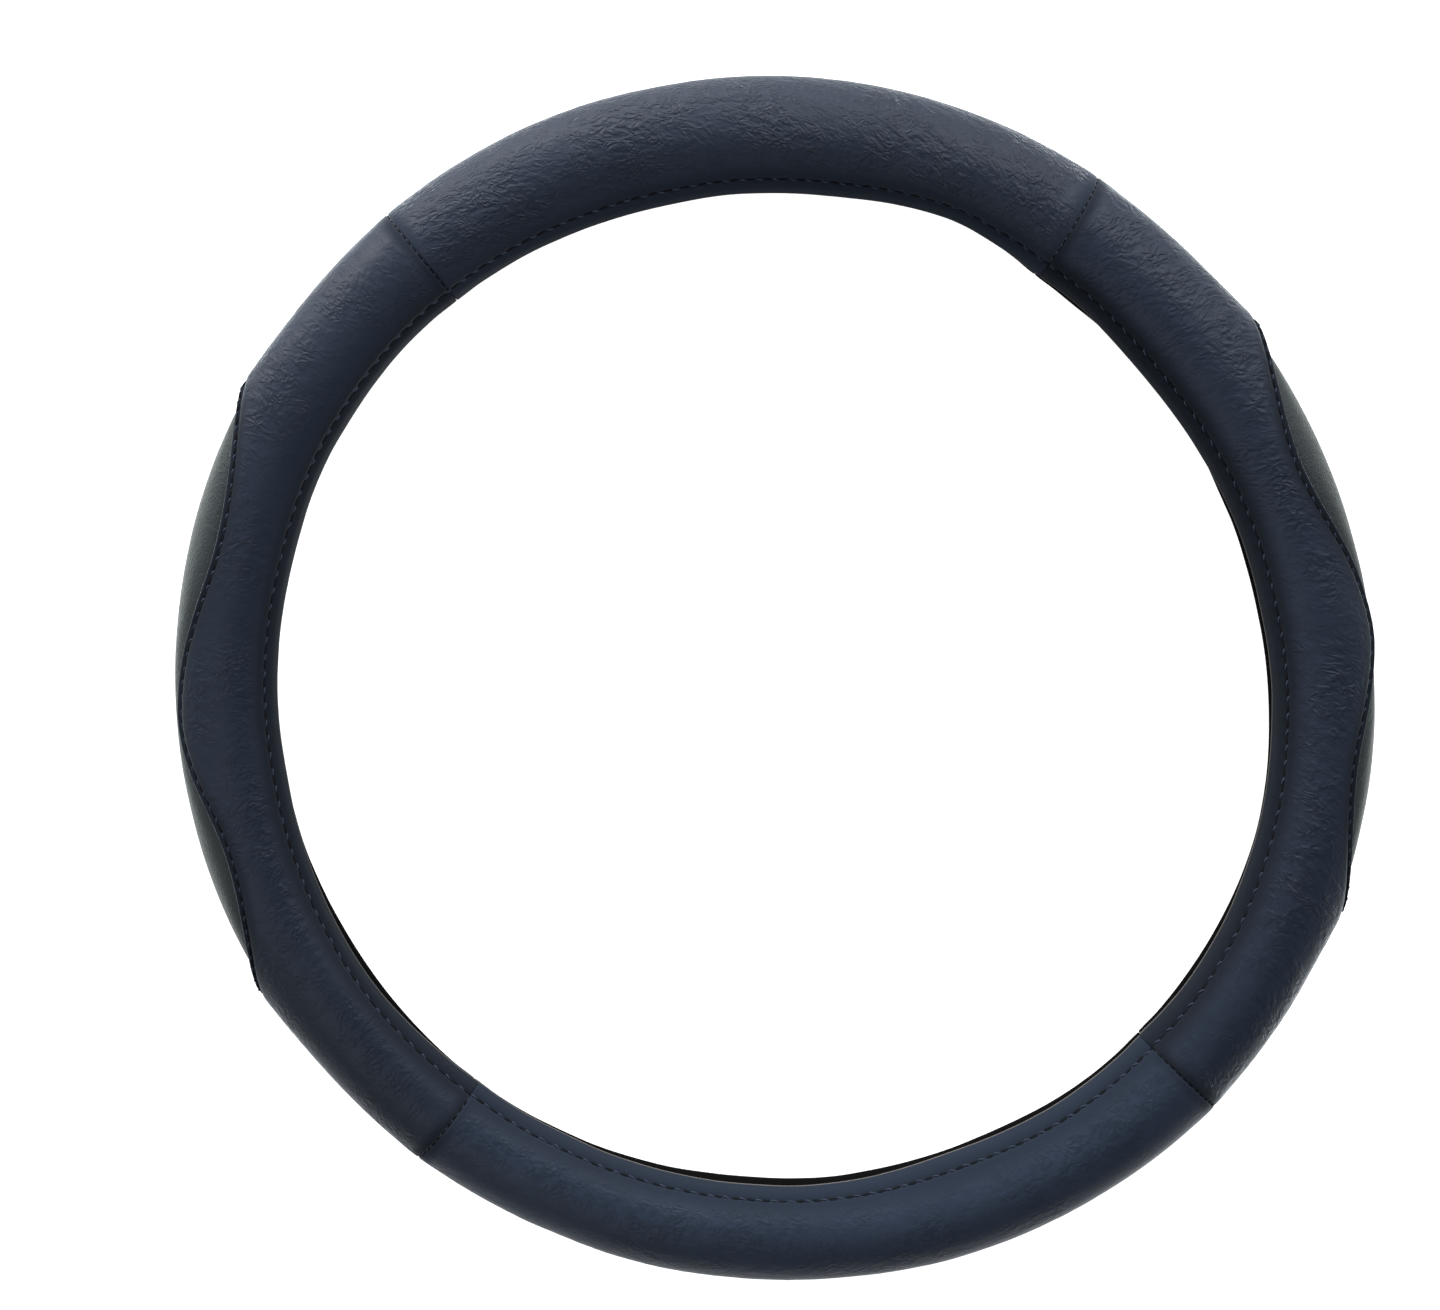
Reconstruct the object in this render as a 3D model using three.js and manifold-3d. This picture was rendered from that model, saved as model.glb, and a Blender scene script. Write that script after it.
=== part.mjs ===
// A steering wheel cover, off the wheel and lying on its back.
// Millimetres, +Z up, twelve o'clock at +Y, and the origin on the floor under the middle of the ring.
//
// The cover is a ring with a C-shaped section, open towards the middle of the ring. Two angles in
// degrees place every point of it. The ring angle runs counter-clockwise from three o'clock. The
// section angle runs round the tube: 0 on its outermost line, 90 at the front, which faces up, and
// -90 at the back, which lies on the floor. The lips end past 90 and past -90.
//
// Depth is measured inwards from the outer skin: leather first, then the rubber liner, and inside
// the liner the leather again, where it is turned in round each lip.

import * as THREE from 'three';
import { mergeVertices } from 'three/addons/utils/BufferGeometryUtils.js';
import Module from 'manifold-3d';

// The ring
const outsideDiameter = 384;
const sectionWidth = 34.4;
const sectionHeight = 33.2;
const restFlatWidth = 6;

// The free ring is soft: slightly oval, slightly three-sided, and fuller towards one side
const oval = { amount: 2.7, angle: 126 };
const threeSided = { amount: 0.75, angle: -42 };
const fuller = { amount: 1.1, angle: 45 };

// The layers and the gaps that glue and sewing leave between them
const leatherThickness = 1.6;
const turnedLeatherThickness = 0.8;
const rubberThickness = 1.5;
const layerGap = 0.35;

// The lips, as section angles, with the hem that is turned round each of them
const frontLip = 155;
const rearLip = -145;
const hemStitchAngle = 19.5;
const hemPinch = 0.5;
const turnInAngle = 26;

// The radial seams between the four panels, as angles each side of twelve and six o'clock
const topSeamAngle = 35.5;
const bottomSeamAngle = 42;
const seamGap = 0.35;

// The wavy line of stitches round each grip. Ring angles are given as on the right side, and the
// left side mirrors them. Heights are section angles above and below the outermost line.
const waveStart = -26;
const waveLowerPeak = -12;
const waveWaist = 2;
const waveUpperPeak = 19.5;
const waveEnd = 34.3;
const waistHeight = 31;
const waveEndHeight = 3;
const waveEndRoundness = 0.8;
const grips = {
  left: { lowerHeight: 64, upperHeight: 64 },
  right: { lowerHeight: 60, upperHeight: 69 },
};

// The window inside the stitches, and the padded insert that fills it
const stitchToWindow = 3.1;
const insertClearance = 0.35;
const insertLift = 0.3;
const insertEdgeDepth = 0.9;
const insertCrownDepth = 0.1;
const insertCrownPower = 4;

// The folded leather stands up a little at both ends of a window and over its waist
const foldSwell = 1.4;
const waistSwell = 0.8;
const swellReach = 4.5;
const swellSpread = 75;

// Anti-slip ribs inside the liner
const ribHeight = 0.5;

// Fineness of the facets
const topSteps = 10;
const bottomSteps = 12;
const sideSteps = 15;
const bellySteps = 10;
const windowSteps = 16;
const windowRows = 6;
const cutterLayers = 3;
const noseSteps = 3;

// Worked out from the sizes above
const halfWidth = sectionWidth / 2;
const halfHeight = sectionHeight / 2;
const outerRadius = outsideDiameter / 2;
const flatHalfAngle = degrees(Math.asin(restFlatWidth / 2 / halfWidth));
const floorToMiddle = halfHeight * Math.cos(radians(flatHalfAngle));
const rubberDepth = leatherThickness + layerGap;
const rubberInnerDepth = rubberDepth + rubberThickness;
const turnInDepth = rubberInnerDepth + layerGap;
const hemInnerDepth = turnInDepth + turnedLeatherThickness;
const cutterReach = foldSwell + waistSwell;
const seamHalfAngle = degrees(seamGap / 2 / (outerRadius - halfWidth));
const topRightSeam = 90 - topSeamAngle;
const topLeftSeam = 90 + topSeamAngle;
const bottomLeftSeam = 270 - bottomSeamAngle;
const bottomRightSeam = 270 + bottomSeamAngle;

function radians(angle) {
  return angle * Math.PI / 180;
}

function degrees(angle) {
  return angle * 180 / Math.PI;
}

function bell(distance, reach) {
  return Math.exp(-((distance / reach) ** 2));
}

// Outline of the ring: the radius of its outermost line, and half the width of its section
function outerRadiusAt(ringAngle) {
  return outerRadius
    + oval.amount * Math.cos(radians(2 * (ringAngle - oval.angle)))
    + threeSided.amount * Math.cos(radians(3 * (ringAngle - threeSided.angle)));
}

function halfWidthAt(ringAngle) {
  return halfWidth + fuller.amount * Math.cos(radians(ringAngle - fuller.angle));
}

// A point of the section, from its section angle and its depth under the skin
function sectionPoint(sectionAngle, depth) {
  return new THREE.Vector2(
    (halfWidth - depth) * Math.cos(radians(sectionAngle)),
    (halfHeight - depth) * Math.sin(radians(sectionAngle)),
  );
}

// Where a point of the section lies in space, at one ring angle
function placeOnRing(point, ringAngle) {
  const stretch = halfWidthAt(ringAngle) / halfWidth;
  const radius = outerRadiusAt(ringAngle) + (point.x - halfWidth) * stretch;
  return new THREE.Vector3(
    radius * Math.cos(radians(ringAngle)),
    radius * Math.sin(radians(ringAngle)),
    point.y + floorToMiddle,
  );
}

// Ring angle on the right side that matches a ring angle on either side
function rightSideAngle(side, ringAngle) {
  const angle = side === 'left' ? 180 - ringAngle : ringAngle;
  return ((angle + 180) % 360 + 360) % 360 - 180;
}

// How far the leather stands up at a point of the skin, from the folds round the windows
function swellAt(side, ringAngle, sectionAngle) {
  const angle = rightSideAngle(side, ringAngle);
  const ends = bell(angle - waveStart, swellReach) + bell(angle - waveEnd, swellReach);
  const waist = bell(angle - waveWaist, swellReach);
  const spread = Math.min(1, Math.abs(sectionAngle) / swellSpread);
  return (foldSwell * ends + waistSwell * waist) * Math.cos(spread * Math.PI / 2) ** 2;
}

// Half height of a grip's wavy outline at one ring angle, moved inwards from the stitches by an inset
function waveHeightAt(grip, angle, inset) {
  const endInset = degrees(inset / outerRadius);
  const heightInset = degrees(inset / halfWidth);
  const start = waveStart + endInset;
  const end = waveEnd - endInset;
  const lower = grip.lowerHeight - heightInset;
  const upper = grip.upperHeight - heightInset;
  const waist = waistHeight - heightInset;
  const rise = (share) => Math.sin(Math.max(0, share) * Math.PI / 2) ** waveEndRoundness;
  const ease = (share) => (1 - Math.cos(share * Math.PI)) / 2;
  if (angle < waveLowerPeak) {
    return waveEndHeight + (lower - waveEndHeight) * rise((angle - start) / (waveLowerPeak - start));
  }
  if (angle < waveWaist) {
    return lower + (waist - lower) * ease((angle - waveLowerPeak) / (waveWaist - waveLowerPeak));
  }
  if (angle < waveUpperPeak) {
    return waist + (upper - waist) * ease((angle - waveWaist) / (waveUpperPeak - waveWaist));
  }
  return waveEndHeight + (upper - waveEndHeight) * rise((end - angle) / (end - waveUpperPeak));
}

// The section angles of the belly, from behind one hem round the outside to behind the other,
// with a flat strip where the ring lies on the floor
function bellyAngles() {
  const frontStitch = frontLip - hemStitchAngle;
  const rearStitch = rearLip + hemStitchAngle;
  const flatStart = -90 + flatHalfAngle;
  const flatEnd = -90 - flatHalfAngle;
  const stepAngle = (frontStitch - flatStart) / (bellySteps + 1);
  const angles = [];
  for (let step = 1; step <= bellySteps + 1; step += 1) {
    angles.push(frontStitch - step * stepAngle);
  }
  angles.push(flatEnd, (flatEnd + rearStitch) / 2);
  return angles;
}

// The rounded edge of a lip, from one depth to another
function nosePoints(lip, fromDepth, toDepth) {
  const middle = sectionPoint(lip, (fromDepth + toDepth) / 2);
  const radius = (toDepth - fromDepth) / 2;
  const outwards = new THREE.Vector2(Math.cos(radians(lip)), Math.sin(radians(lip)));
  const onwards = new THREE.Vector2(-outwards.y, outwards.x).multiplyScalar(Math.sign(lip));
  const points = [];
  for (let step = 1; step < noseSteps; step += 1) {
    const turn = step / noseSteps * Math.PI;
    points.push(middle.clone()
      .addScaledVector(outwards, radius * Math.cos(turn))
      .addScaledVector(onwards, radius * Math.sin(turn)));
  }
  return points;
}

// The leather's section: round the outside, round the rear lip, and back along the inside
function leatherOutline() {
  const frontStitch = frontLip - hemStitchAngle;
  const rearStitch = rearLip + hemStitchAngle;
  const frontTurnEnd = frontLip - turnInAngle;
  const rearTurnEnd = rearLip + turnInAngle;
  const belly = bellyAngles();
  const inside = [...belly].reverse();
  const innerNose = (lip) => nosePoints(lip, leatherThickness, turnInDepth);
  return [
    sectionPoint(frontLip, 0),
    sectionPoint(frontStitch, hemPinch),
    ...belly.map((angle) => sectionPoint(angle, 0)),
    sectionPoint(rearStitch, hemPinch),
    sectionPoint(rearLip, 0),
    ...nosePoints(rearLip, 0, hemInnerDepth),
    sectionPoint(rearLip, hemInnerDepth),
    sectionPoint(rearTurnEnd, hemInnerDepth),
    sectionPoint(rearTurnEnd, turnInDepth),
    sectionPoint(rearLip, turnInDepth),
    ...innerNose(rearLip).reverse(),
    sectionPoint(rearLip, leatherThickness),
    sectionPoint(rearStitch, leatherThickness),
    ...inside.map((angle) => sectionPoint(angle, leatherThickness)),
    sectionPoint(frontStitch, leatherThickness),
    sectionPoint(frontLip, leatherThickness),
    ...innerNose(frontLip),
    sectionPoint(frontLip, turnInDepth),
    sectionPoint(frontTurnEnd, turnInDepth),
    sectionPoint(frontTurnEnd, hemInnerDepth),
    sectionPoint(frontLip, hemInnerDepth),
    ...nosePoints(frontLip, 0, hemInnerDepth).reverse(),
  ];
}

// The liner's section: smooth outside, and every other point of the inside raised as a rib
function rubberOutline() {
  const frontStitch = frontLip - hemStitchAngle;
  const rearStitch = rearLip + hemStitchAngle;
  const belly = bellyAngles();
  const ribbed = belly.map((angle, index) => {
    const onRib = index % 2 === 1 && index < belly.length - 1;
    return sectionPoint(angle, rubberInnerDepth + (onRib ? ribHeight : 0));
  });
  return [
    sectionPoint(frontLip, rubberDepth),
    sectionPoint(frontStitch, rubberDepth),
    ...belly.map((angle) => sectionPoint(angle, rubberDepth)),
    sectionPoint(rearStitch, rubberDepth),
    sectionPoint(rearLip, rubberDepth),
    ...nosePoints(rearLip, rubberDepth, rubberInnerDepth),
    sectionPoint(rearLip, rubberInnerDepth),
    sectionPoint(rearStitch, rubberInnerDepth),
    ...ribbed.reverse(),
    sectionPoint(frontStitch, rubberInnerDepth),
    sectionPoint(frontLip, rubberInnerDepth),
    ...nosePoints(frontLip, rubberDepth, rubberInnerDepth).reverse(),
  ];
}

// Moves every vertex of a geometry by a function, and leaves only merged positions
function reshape(geometry, move) {
  const positions = geometry.getAttribute('position');
  const vertex = new THREE.Vector3();
  for (let index = 0; index < positions.count; index += 1) {
    vertex.fromBufferAttribute(positions, index);
    const moved = move(vertex);
    positions.setXYZ(index, moved.x, moved.y, moved.z);
  }
  geometry.deleteAttribute('normal');
  geometry.deleteAttribute('uv');
  return mergeVertices(geometry);
}

// A panel of leather: its section drawn along one stretch of the ring, between two seams
function panelGeometry(fromSeam, toSeam, steps, side) {
  const start = fromSeam + seamHalfAngle;
  const end = toSeam - seamHalfAngle;
  const profile = new THREE.Shape(leatherOutline());
  const straight = new THREE.ExtrudeGeometry(profile, {
    depth: end - start,
    steps,
    bevelEnabled: false,
  });
  return reshape(straight, (vertex) => {
    const ringAngle = end - vertex.z;
    const point = new THREE.Vector2(vertex.x, vertex.y);
    if (side) {
      const sectionAngle = degrees(Math.atan2(point.y, point.x));
      const depth = halfWidth * (1 - Math.hypot(point.x / halfWidth, point.y / halfHeight));
      const outerShare = Math.max(0, 1 - depth / leatherThickness);
      const swell = swellAt(side, ringAngle, sectionAngle) * outerShare;
      point.multiplyScalar(1 + swell / point.length());
    }
    return placeOnRing(point, ringAngle);
  });
}

// The liner's stations stand on the panels' stations, so that the facets of both run side by side
function stationAngle(station) {
  const stretches = [
    { from: bottomRightSeam - 360, to: topRightSeam, steps: sideSteps },
    { from: topRightSeam, to: topLeftSeam, steps: topSteps },
    { from: topLeftSeam, to: bottomLeftSeam, steps: sideSteps },
    { from: bottomLeftSeam, to: bottomRightSeam, steps: bottomSteps },
  ];
  let left = station;
  for (const stretch of stretches) {
    if (left <= stretch.steps) {
      return stretch.from + (stretch.to - stretch.from) * left / stretch.steps;
    }
    left -= stretch.steps;
  }
  return bottomRightSeam;
}

function rubberRingGeometry() {
  const stations = 2 * sideSteps + topSteps + bottomSteps;
  const middleRadius = outerRadius - halfWidth;
  const profile = rubberOutline().map((point) => point.clone().setX(point.x + middleRadius));
  profile.push(profile[0].clone());
  const round = new THREE.LatheGeometry(profile.reverse(), stations);
  return reshape(round, (vertex) => {
    const turn = (Math.atan2(vertex.x, vertex.z) / (2 * Math.PI) + 1) % 1;
    const station = Math.round(turn * stations) % stations;
    const point = new THREE.Vector2(Math.hypot(vertex.x, vertex.z) - middleRadius, vertex.y);
    return placeOnRing(point, stationAngle(station));
  });
}

// A curved block with the wavy outline of one grip. Its depth at a point is a function of where the
// point is along and across the window, from -1 to 1, and how far up from the bottom, from 0 to 1.
function waveBlockGeometry(side, inset, layers, depthAt) {
  const endInset = degrees(inset / outerRadius);
  const start = waveStart + endInset;
  const end = waveEnd - endInset;
  const block = new THREE.BoxGeometry(2, 2, 1, windowSteps, windowRows, layers);
  return reshape(block, (vertex) => {
    const along = (side === 'left' ? -1 : 1) * Math.sin(vertex.x * Math.PI / 2);
    const angle = start + (end - start) * (along + 1) / 2;
    const sectionAngle = vertex.y * waveHeightAt(grips[side], angle, inset);
    const ringAngle = side === 'left' ? 180 - angle : angle;
    const depth = depthAt(vertex.x, vertex.y, vertex.z + 0.5);
    return placeOnRing(sectionPoint(sectionAngle, depth), ringAngle);
  });
}

const wasm = await Module();
wasm.setup();

function solidOf(geometry) {
  const vertProperties = new Float32Array(geometry.getAttribute('position').array);
  const triVerts = new Uint32Array(geometry.getIndex().array);
  return new wasm.Manifold(new wasm.Mesh({ numProp: 3, vertProperties, triVerts }));
}

function geometryOf(solid) {
  const mesh = solid.getMesh();
  const geometry = new THREE.BufferGeometry();
  geometry.setAttribute('position', new THREE.BufferAttribute(mesh.vertProperties, 3));
  geometry.setIndex(new THREE.BufferAttribute(mesh.triVerts, 1));
  return geometry;
}

// A side panel: the plain panel with its wavy window cut out
function windowedPanelGeometry(fromSeam, toSeam, side) {
  const panel = solidOf(panelGeometry(fromSeam, toSeam, sideSteps, side));
  const depthAt = (along, across, up) => cutterReach * (1 - 2 * up) + leatherThickness * (1 - up);
  const cutter = solidOf(waveBlockGeometry(side, stitchToWindow, cutterLayers, depthAt));
  return geometryOf(panel.subtract(cutter));
}

// A padded insert, crowned in the middle and thinner along its edge
function gripInsertGeometry(side) {
  const bottomDepth = leatherThickness - insertLift;
  const depthAt = (along, across, up) => {
    const towardsEdge = Math.max(Math.abs(along), Math.abs(across)) ** insertCrownPower;
    const topDepth = insertCrownDepth + (insertEdgeDepth - insertCrownDepth) * towardsEdge;
    return bottomDepth + (topDepth - bottomDepth) * up;
  };
  return waveBlockGeometry(side, stitchToWindow + insertClearance, 1, depthAt);
}

const leather = new THREE.MeshStandardMaterial({ color: 0x2b313e, roughness: 0.5, metalness: 0 });
const gripLeather = new THREE.MeshStandardMaterial({ color: 0x363c40, roughness: 0.4, metalness: 0 });
const rubber = new THREE.MeshStandardMaterial({ color: 0x151515, roughness: 0.8, metalness: 0 });

function named(name, geometry, material) {
  const mesh = new THREE.Mesh(geometry, material);
  mesh.name = name;
  return mesh;
}

const cover = new THREE.Group();
cover.add(named('rubber_ring', rubberRingGeometry(), rubber));
cover.add(named('top_panel', panelGeometry(topRightSeam, topLeftSeam, topSteps), leather));
cover.add(named('bottom_panel', panelGeometry(bottomLeftSeam, bottomRightSeam, bottomSteps), leather));
cover.add(named('left_panel', windowedPanelGeometry(topLeftSeam, bottomLeftSeam, 'left'), leather));
cover.add(named('right_panel', windowedPanelGeometry(bottomRightSeam - 360, topRightSeam, 'right'), leather));
cover.add(named('left_grip_insert', gripInsertGeometry('left'), gripLeather));
cover.add(named('right_grip_insert', gripInsertGeometry('right'), gripLeather));

// The uneven outline leaves its middle a little off the centre of the circle, so the ring is moved
// until the middle of its box stands over the origin
const box = new THREE.Box3().setFromObject(cover);
const middle = box.getCenter(new THREE.Vector3());
cover.position.set(-middle.x, -middle.y, 0);

export default cover;
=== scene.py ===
# %% [markdown]
# # A leather steering wheel cover
#
# The cover is a soft ring with a C-shaped section. A rubber liner grips the rim of the wheel, four
# panels of navy leather are sewn round the liner, and a padded grip shows through an hourglass
# window on each side. Here it lies on its back, and the camera looks down on it.
#
# They fix every size and place. This script dresses them with fine leather, padding and thread,
# and it moves none of them.

import math

import bpy
import numpy as np
from mathutils import Matrix, Vector


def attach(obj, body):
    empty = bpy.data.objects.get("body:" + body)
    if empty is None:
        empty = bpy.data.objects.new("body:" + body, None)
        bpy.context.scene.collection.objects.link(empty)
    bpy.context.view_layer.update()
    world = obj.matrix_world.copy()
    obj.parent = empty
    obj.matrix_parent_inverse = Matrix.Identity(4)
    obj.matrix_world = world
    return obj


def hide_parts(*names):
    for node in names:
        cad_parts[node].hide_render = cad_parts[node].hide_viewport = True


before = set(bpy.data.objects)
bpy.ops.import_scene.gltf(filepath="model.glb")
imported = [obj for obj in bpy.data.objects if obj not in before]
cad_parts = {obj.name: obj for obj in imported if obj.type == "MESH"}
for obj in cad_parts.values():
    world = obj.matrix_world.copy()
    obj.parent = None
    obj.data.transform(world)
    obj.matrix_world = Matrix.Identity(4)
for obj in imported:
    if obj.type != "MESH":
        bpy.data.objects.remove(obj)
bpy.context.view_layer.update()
print("solids:", sorted(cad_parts))

# %% [markdown]
# ## The sizes of the cover
#
# The same driving sizes as the solids, in metres, with angles in degrees. Two angles place every
# point of the ring. The ring angle runs counter-clockwise from three o'clock. The section angle
# runs round the tube: 0 on its outermost line, 90 at the front, which faces up, and -90 at the
# back. A learner could model one slice and use a curve modifier instead, but the uneven outline,
# the wavy windows and the hems are easier to keep true when one pair of angles drives them all.
#
# Two sizes are finer here than in the solids. The edge of a window lies 2.4 mm inside its stitches
# instead of 3.1, because the fold rounds over it. A seam is 0.12 mm wide instead of 0.35, because
# thread pulls the two edges together.

# %% Sizes of the ring, the lips and the seams
MM = 0.001

OUTSIDE_DIAMETER = 384 * MM
SECTION_WIDTH = 34.4 * MM
SECTION_HEIGHT = 33.2 * MM
REST_FLAT_WIDTH = 6 * MM

OVAL_AMOUNT, OVAL_ANGLE = 2.7 * MM, 126
THREE_SIDED_AMOUNT, THREE_SIDED_ANGLE = 0.75 * MM, -42
FULLER_AMOUNT, FULLER_ANGLE = 1.1 * MM, 45

LEATHER = 1.6 * MM
TURNED_LEATHER = 0.8 * MM
RUBBER = 1.5 * MM
LAYER_GAP = 0.35 * MM

FRONT_LIP = 155
REAR_LIP = -145
HEM_SETBACK = 19.5
TURN_IN = 26

TOP_SEAM = 35.5
BOTTOM_SEAM = 42
SEAM_GAP = 0.12 * MM

OUTER_RADIUS = OUTSIDE_DIAMETER / 2
HALF_WIDTH = SECTION_WIDTH / 2
HALF_HEIGHT = SECTION_HEIGHT / 2
RING_RADIUS = OUTER_RADIUS - HALF_WIDTH
RUBBER_DEPTH = LEATHER + LAYER_GAP
RUBBER_INNER_DEPTH = RUBBER_DEPTH + RUBBER
TURN_IN_DEPTH = RUBBER_INNER_DEPTH + LAYER_GAP
HEM_INNER_DEPTH = TURN_IN_DEPTH + TURNED_LEATHER
FLAT_HALF_ANGLE = math.degrees(math.asin(REST_FLAT_WIDTH / 2 / HALF_WIDTH))
FLOOR_TO_MIDDLE = HALF_HEIGHT * math.cos(math.radians(FLAT_HALF_ANGLE))
FRONT_STITCH = FRONT_LIP - HEM_SETBACK
REAR_STITCH = REAR_LIP + HEM_SETBACK

SEAM_ANGLES = [-90 + BOTTOM_SEAM, 90 - TOP_SEAM, 90 + TOP_SEAM, 270 - BOTTOM_SEAM, 270 + BOTTOM_SEAM]
print("seams at ring angles", SEAM_ANGLES)

# %% Sizes of the grips and their windows
WAVE_START = -26
WAVE_LOWER_PEAK = -12
WAVE_WAIST = 2
WAVE_UPPER_PEAK = 19.5
WAVE_END = 34.3
WAIST_HEIGHT = 31
WAVE_END_HEIGHT = 3
WAVE_END_ROUNDNESS = 0.8
GRIP_HEIGHTS = {"left": (64, 64), "right": (60, 69)}

STITCH_TO_WINDOW = 2.4 * MM
INSERT_CLEARANCE = 0.35 * MM
FOLD_SWELL = 1.4 * MM
WAIST_SWELL = 0.8 * MM
SWELL_REACH = 4.5
SWELL_SPREAD = 75

WINDOW_START = WAVE_START + math.degrees(STITCH_TO_WINDOW / OUTER_RADIUS)
WINDOW_END = WAVE_END - math.degrees(STITCH_TO_WINDOW / OUTER_RADIUS)
print("a window runs from", round(WINDOW_START, 1), "to", round(WINDOW_END, 1), "degrees")

# %% How the soft ring departs from a true one
OUTER_SWELL = 0.85 * MM
OUTER_SWELL_DRIFT, OUTER_SWELL_ANGLE = 0.80 * MM, 128
# Ring angle and reach in degrees, then how far the front lip and the rear lip stand outwards
LIP_WAVES = (
    (38, 12, -1.1 * MM, 0),
    (50, 7, 0.4 * MM, -1.3 * MM),
    (67, 9, 2.4 * MM, 2.2 * MM),
    (103, 11, -1.2 * MM, 0),
    (138, 18, 1.5 * MM, 1.0 * MM),
    (209, 10, 1.5 * MM, 0),
    (230, 24, 0.1 * MM, 1.1 * MM),
    (262, 8, -0.3 * MM, -0.9 * MM),
    (287, 13, -2.6 * MM, -1.9 * MM),
    (308, 12, -1.4 * MM, 0),
    (338, 14, 0.3 * MM, 1.5 * MM),
)
LIP_WAVE_START, LIP_WAVE_END = 100, 150


# %% The shape of the free ring
def bell(distance, reach):
    """A smooth bump that is 1 at no distance and fades over the reach."""
    return np.exp(-((distance / reach) ** 2))


def ease(share):
    """A smooth step from 0 to 1."""
    share = np.clip(share, 0, 1)
    return share * share * (3 - 2 * share)


def outer_radius(ring):
    """Radius of the ring's outermost line. The free ring is soft, so it is slightly out of round."""
    oval = OVAL_AMOUNT * np.cos(np.radians(2 * (ring - OVAL_ANGLE)))
    three_sided = THREE_SIDED_AMOUNT * np.cos(np.radians(3 * (ring - THREE_SIDED_ANGLE)))
    return OUTER_RADIUS + oval + three_sided


def lip_wave(ring, section):
    """How far a lip stands outwards of its true place, since nothing stretches it yet."""
    wave = 0 * ring * section
    for angle, reach, front_amount, rear_amount in LIP_WAVES:
        away = (ring - angle + 180) % 360 - 180
        wave = wave + np.where(section > 0, front_amount, rear_amount) * bell(away, reach)
    return wave * ease((np.abs(section) - LIP_WAVE_START) / (LIP_WAVE_END - LIP_WAVE_START))


def outside_share(section):
    """1 on the outermost line, fading to 0 towards the front and the back."""
    return np.cos(np.clip(np.abs(section) / SWELL_SPREAD, 0, 1) * math.pi / 2) ** 2


def outer_swell(ring, section):
    """How far the padded outside stands off the tube: more at the upper left."""
    drift = OUTER_SWELL_DRIFT * np.cos(np.radians(ring - OUTER_SWELL_ANGLE))
    return (OUTER_SWELL + drift) * outside_share(section)


def on_ring(ring, u, v):
    """Points in space, from ring angles and section points, where u is outwards and v is up."""
    stretch = 1 + FULLER_AMOUNT / HALF_WIDTH * np.cos(np.radians(ring - FULLER_ANGLE))
    section = np.degrees(np.arctan2(v / HALF_HEIGHT, u / HALF_WIDTH))
    radius = outer_radius(ring) + (u - HALF_WIDTH) * stretch + lip_wave(ring, section)
    angle = np.radians(ring)
    x = radius * np.cos(angle) - RING_MIDDLE[0]
    y = radius * np.sin(angle) - RING_MIDDLE[1]
    return np.stack([x, y, v + FLOOR_TO_MIDDLE + 0 * x], axis=-1)


def section_point(section, depth):
    """A point of the section, from its angle and its depth under the skin."""
    angle = np.radians(section)
    return (HALF_WIDTH - depth) * np.cos(angle), (HALF_HEIGHT - depth) * np.sin(angle)


RING_MIDDLE = (0.0, 0.0)
outline = on_ring(np.arange(0, 360, 0.5), HALF_WIDTH, 0)
RING_MIDDLE = tuple((outline.min(0) + outline.max(0))[:2] / 2)
print("middle of the outline, in mm:", [round(value / MM, 2) for value in RING_MIDDLE])

# %% [markdown]
# ## Leather that is sewn, not moulded
#
# What tells leather from plastic is that it is never even. The skin rolls gently where the liner
# pushes, it creases across the ring where hands bend it, it is drawn into a valley at each line of
# stitches and it stands up between them. All of this is one height over the smooth tube, written
# as a sum of small terms. A sculpted mesh would give the same, but a formula can be re-used for the
# thread, which has to lie in the same valleys.

# %% Seeded hills, for everything that is uneven by chance
LATTICE = 512
SEED_STEP_ALONG, SEED_STEP_ACROSS = 7.31, 3.77


def hills(along, across, size_along, size_across, seed):
    """Smooth random hills from -1 to 1, of about the given sizes along and across the leather."""
    heights = np.random.default_rng(seed).uniform(-1, 1, (LATTICE, LATTICE))
    x = along / size_along + seed * SEED_STEP_ALONG
    y = across / size_across + seed * SEED_STEP_ACROSS
    column, row = np.floor(x).astype(int), np.floor(y).astype(int)
    fx, fy = x - column, y - row
    fx = fx**3 * (fx * (6 * fx - 15) + 10)
    fy = fy**3 * (fy * (6 * fy - 15) + 10)

    def corner(right, up):
        return heights[(column + right) % LATTICE, (row + up) % LATTICE]

    near = corner(0, 0) * (1 - fx) + corner(1, 0) * fx
    far = corner(0, 1) * (1 - fx) + corner(1, 1) * fx
    return near * (1 - fy) + far * fy


def creases(along, across, size_along, size_across, seed):
    """Sharp ridges where the hills cross zero, from 0 to 1."""
    return (1 - np.abs(hills(along, across, size_along, size_across, seed))) ** 3


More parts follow.
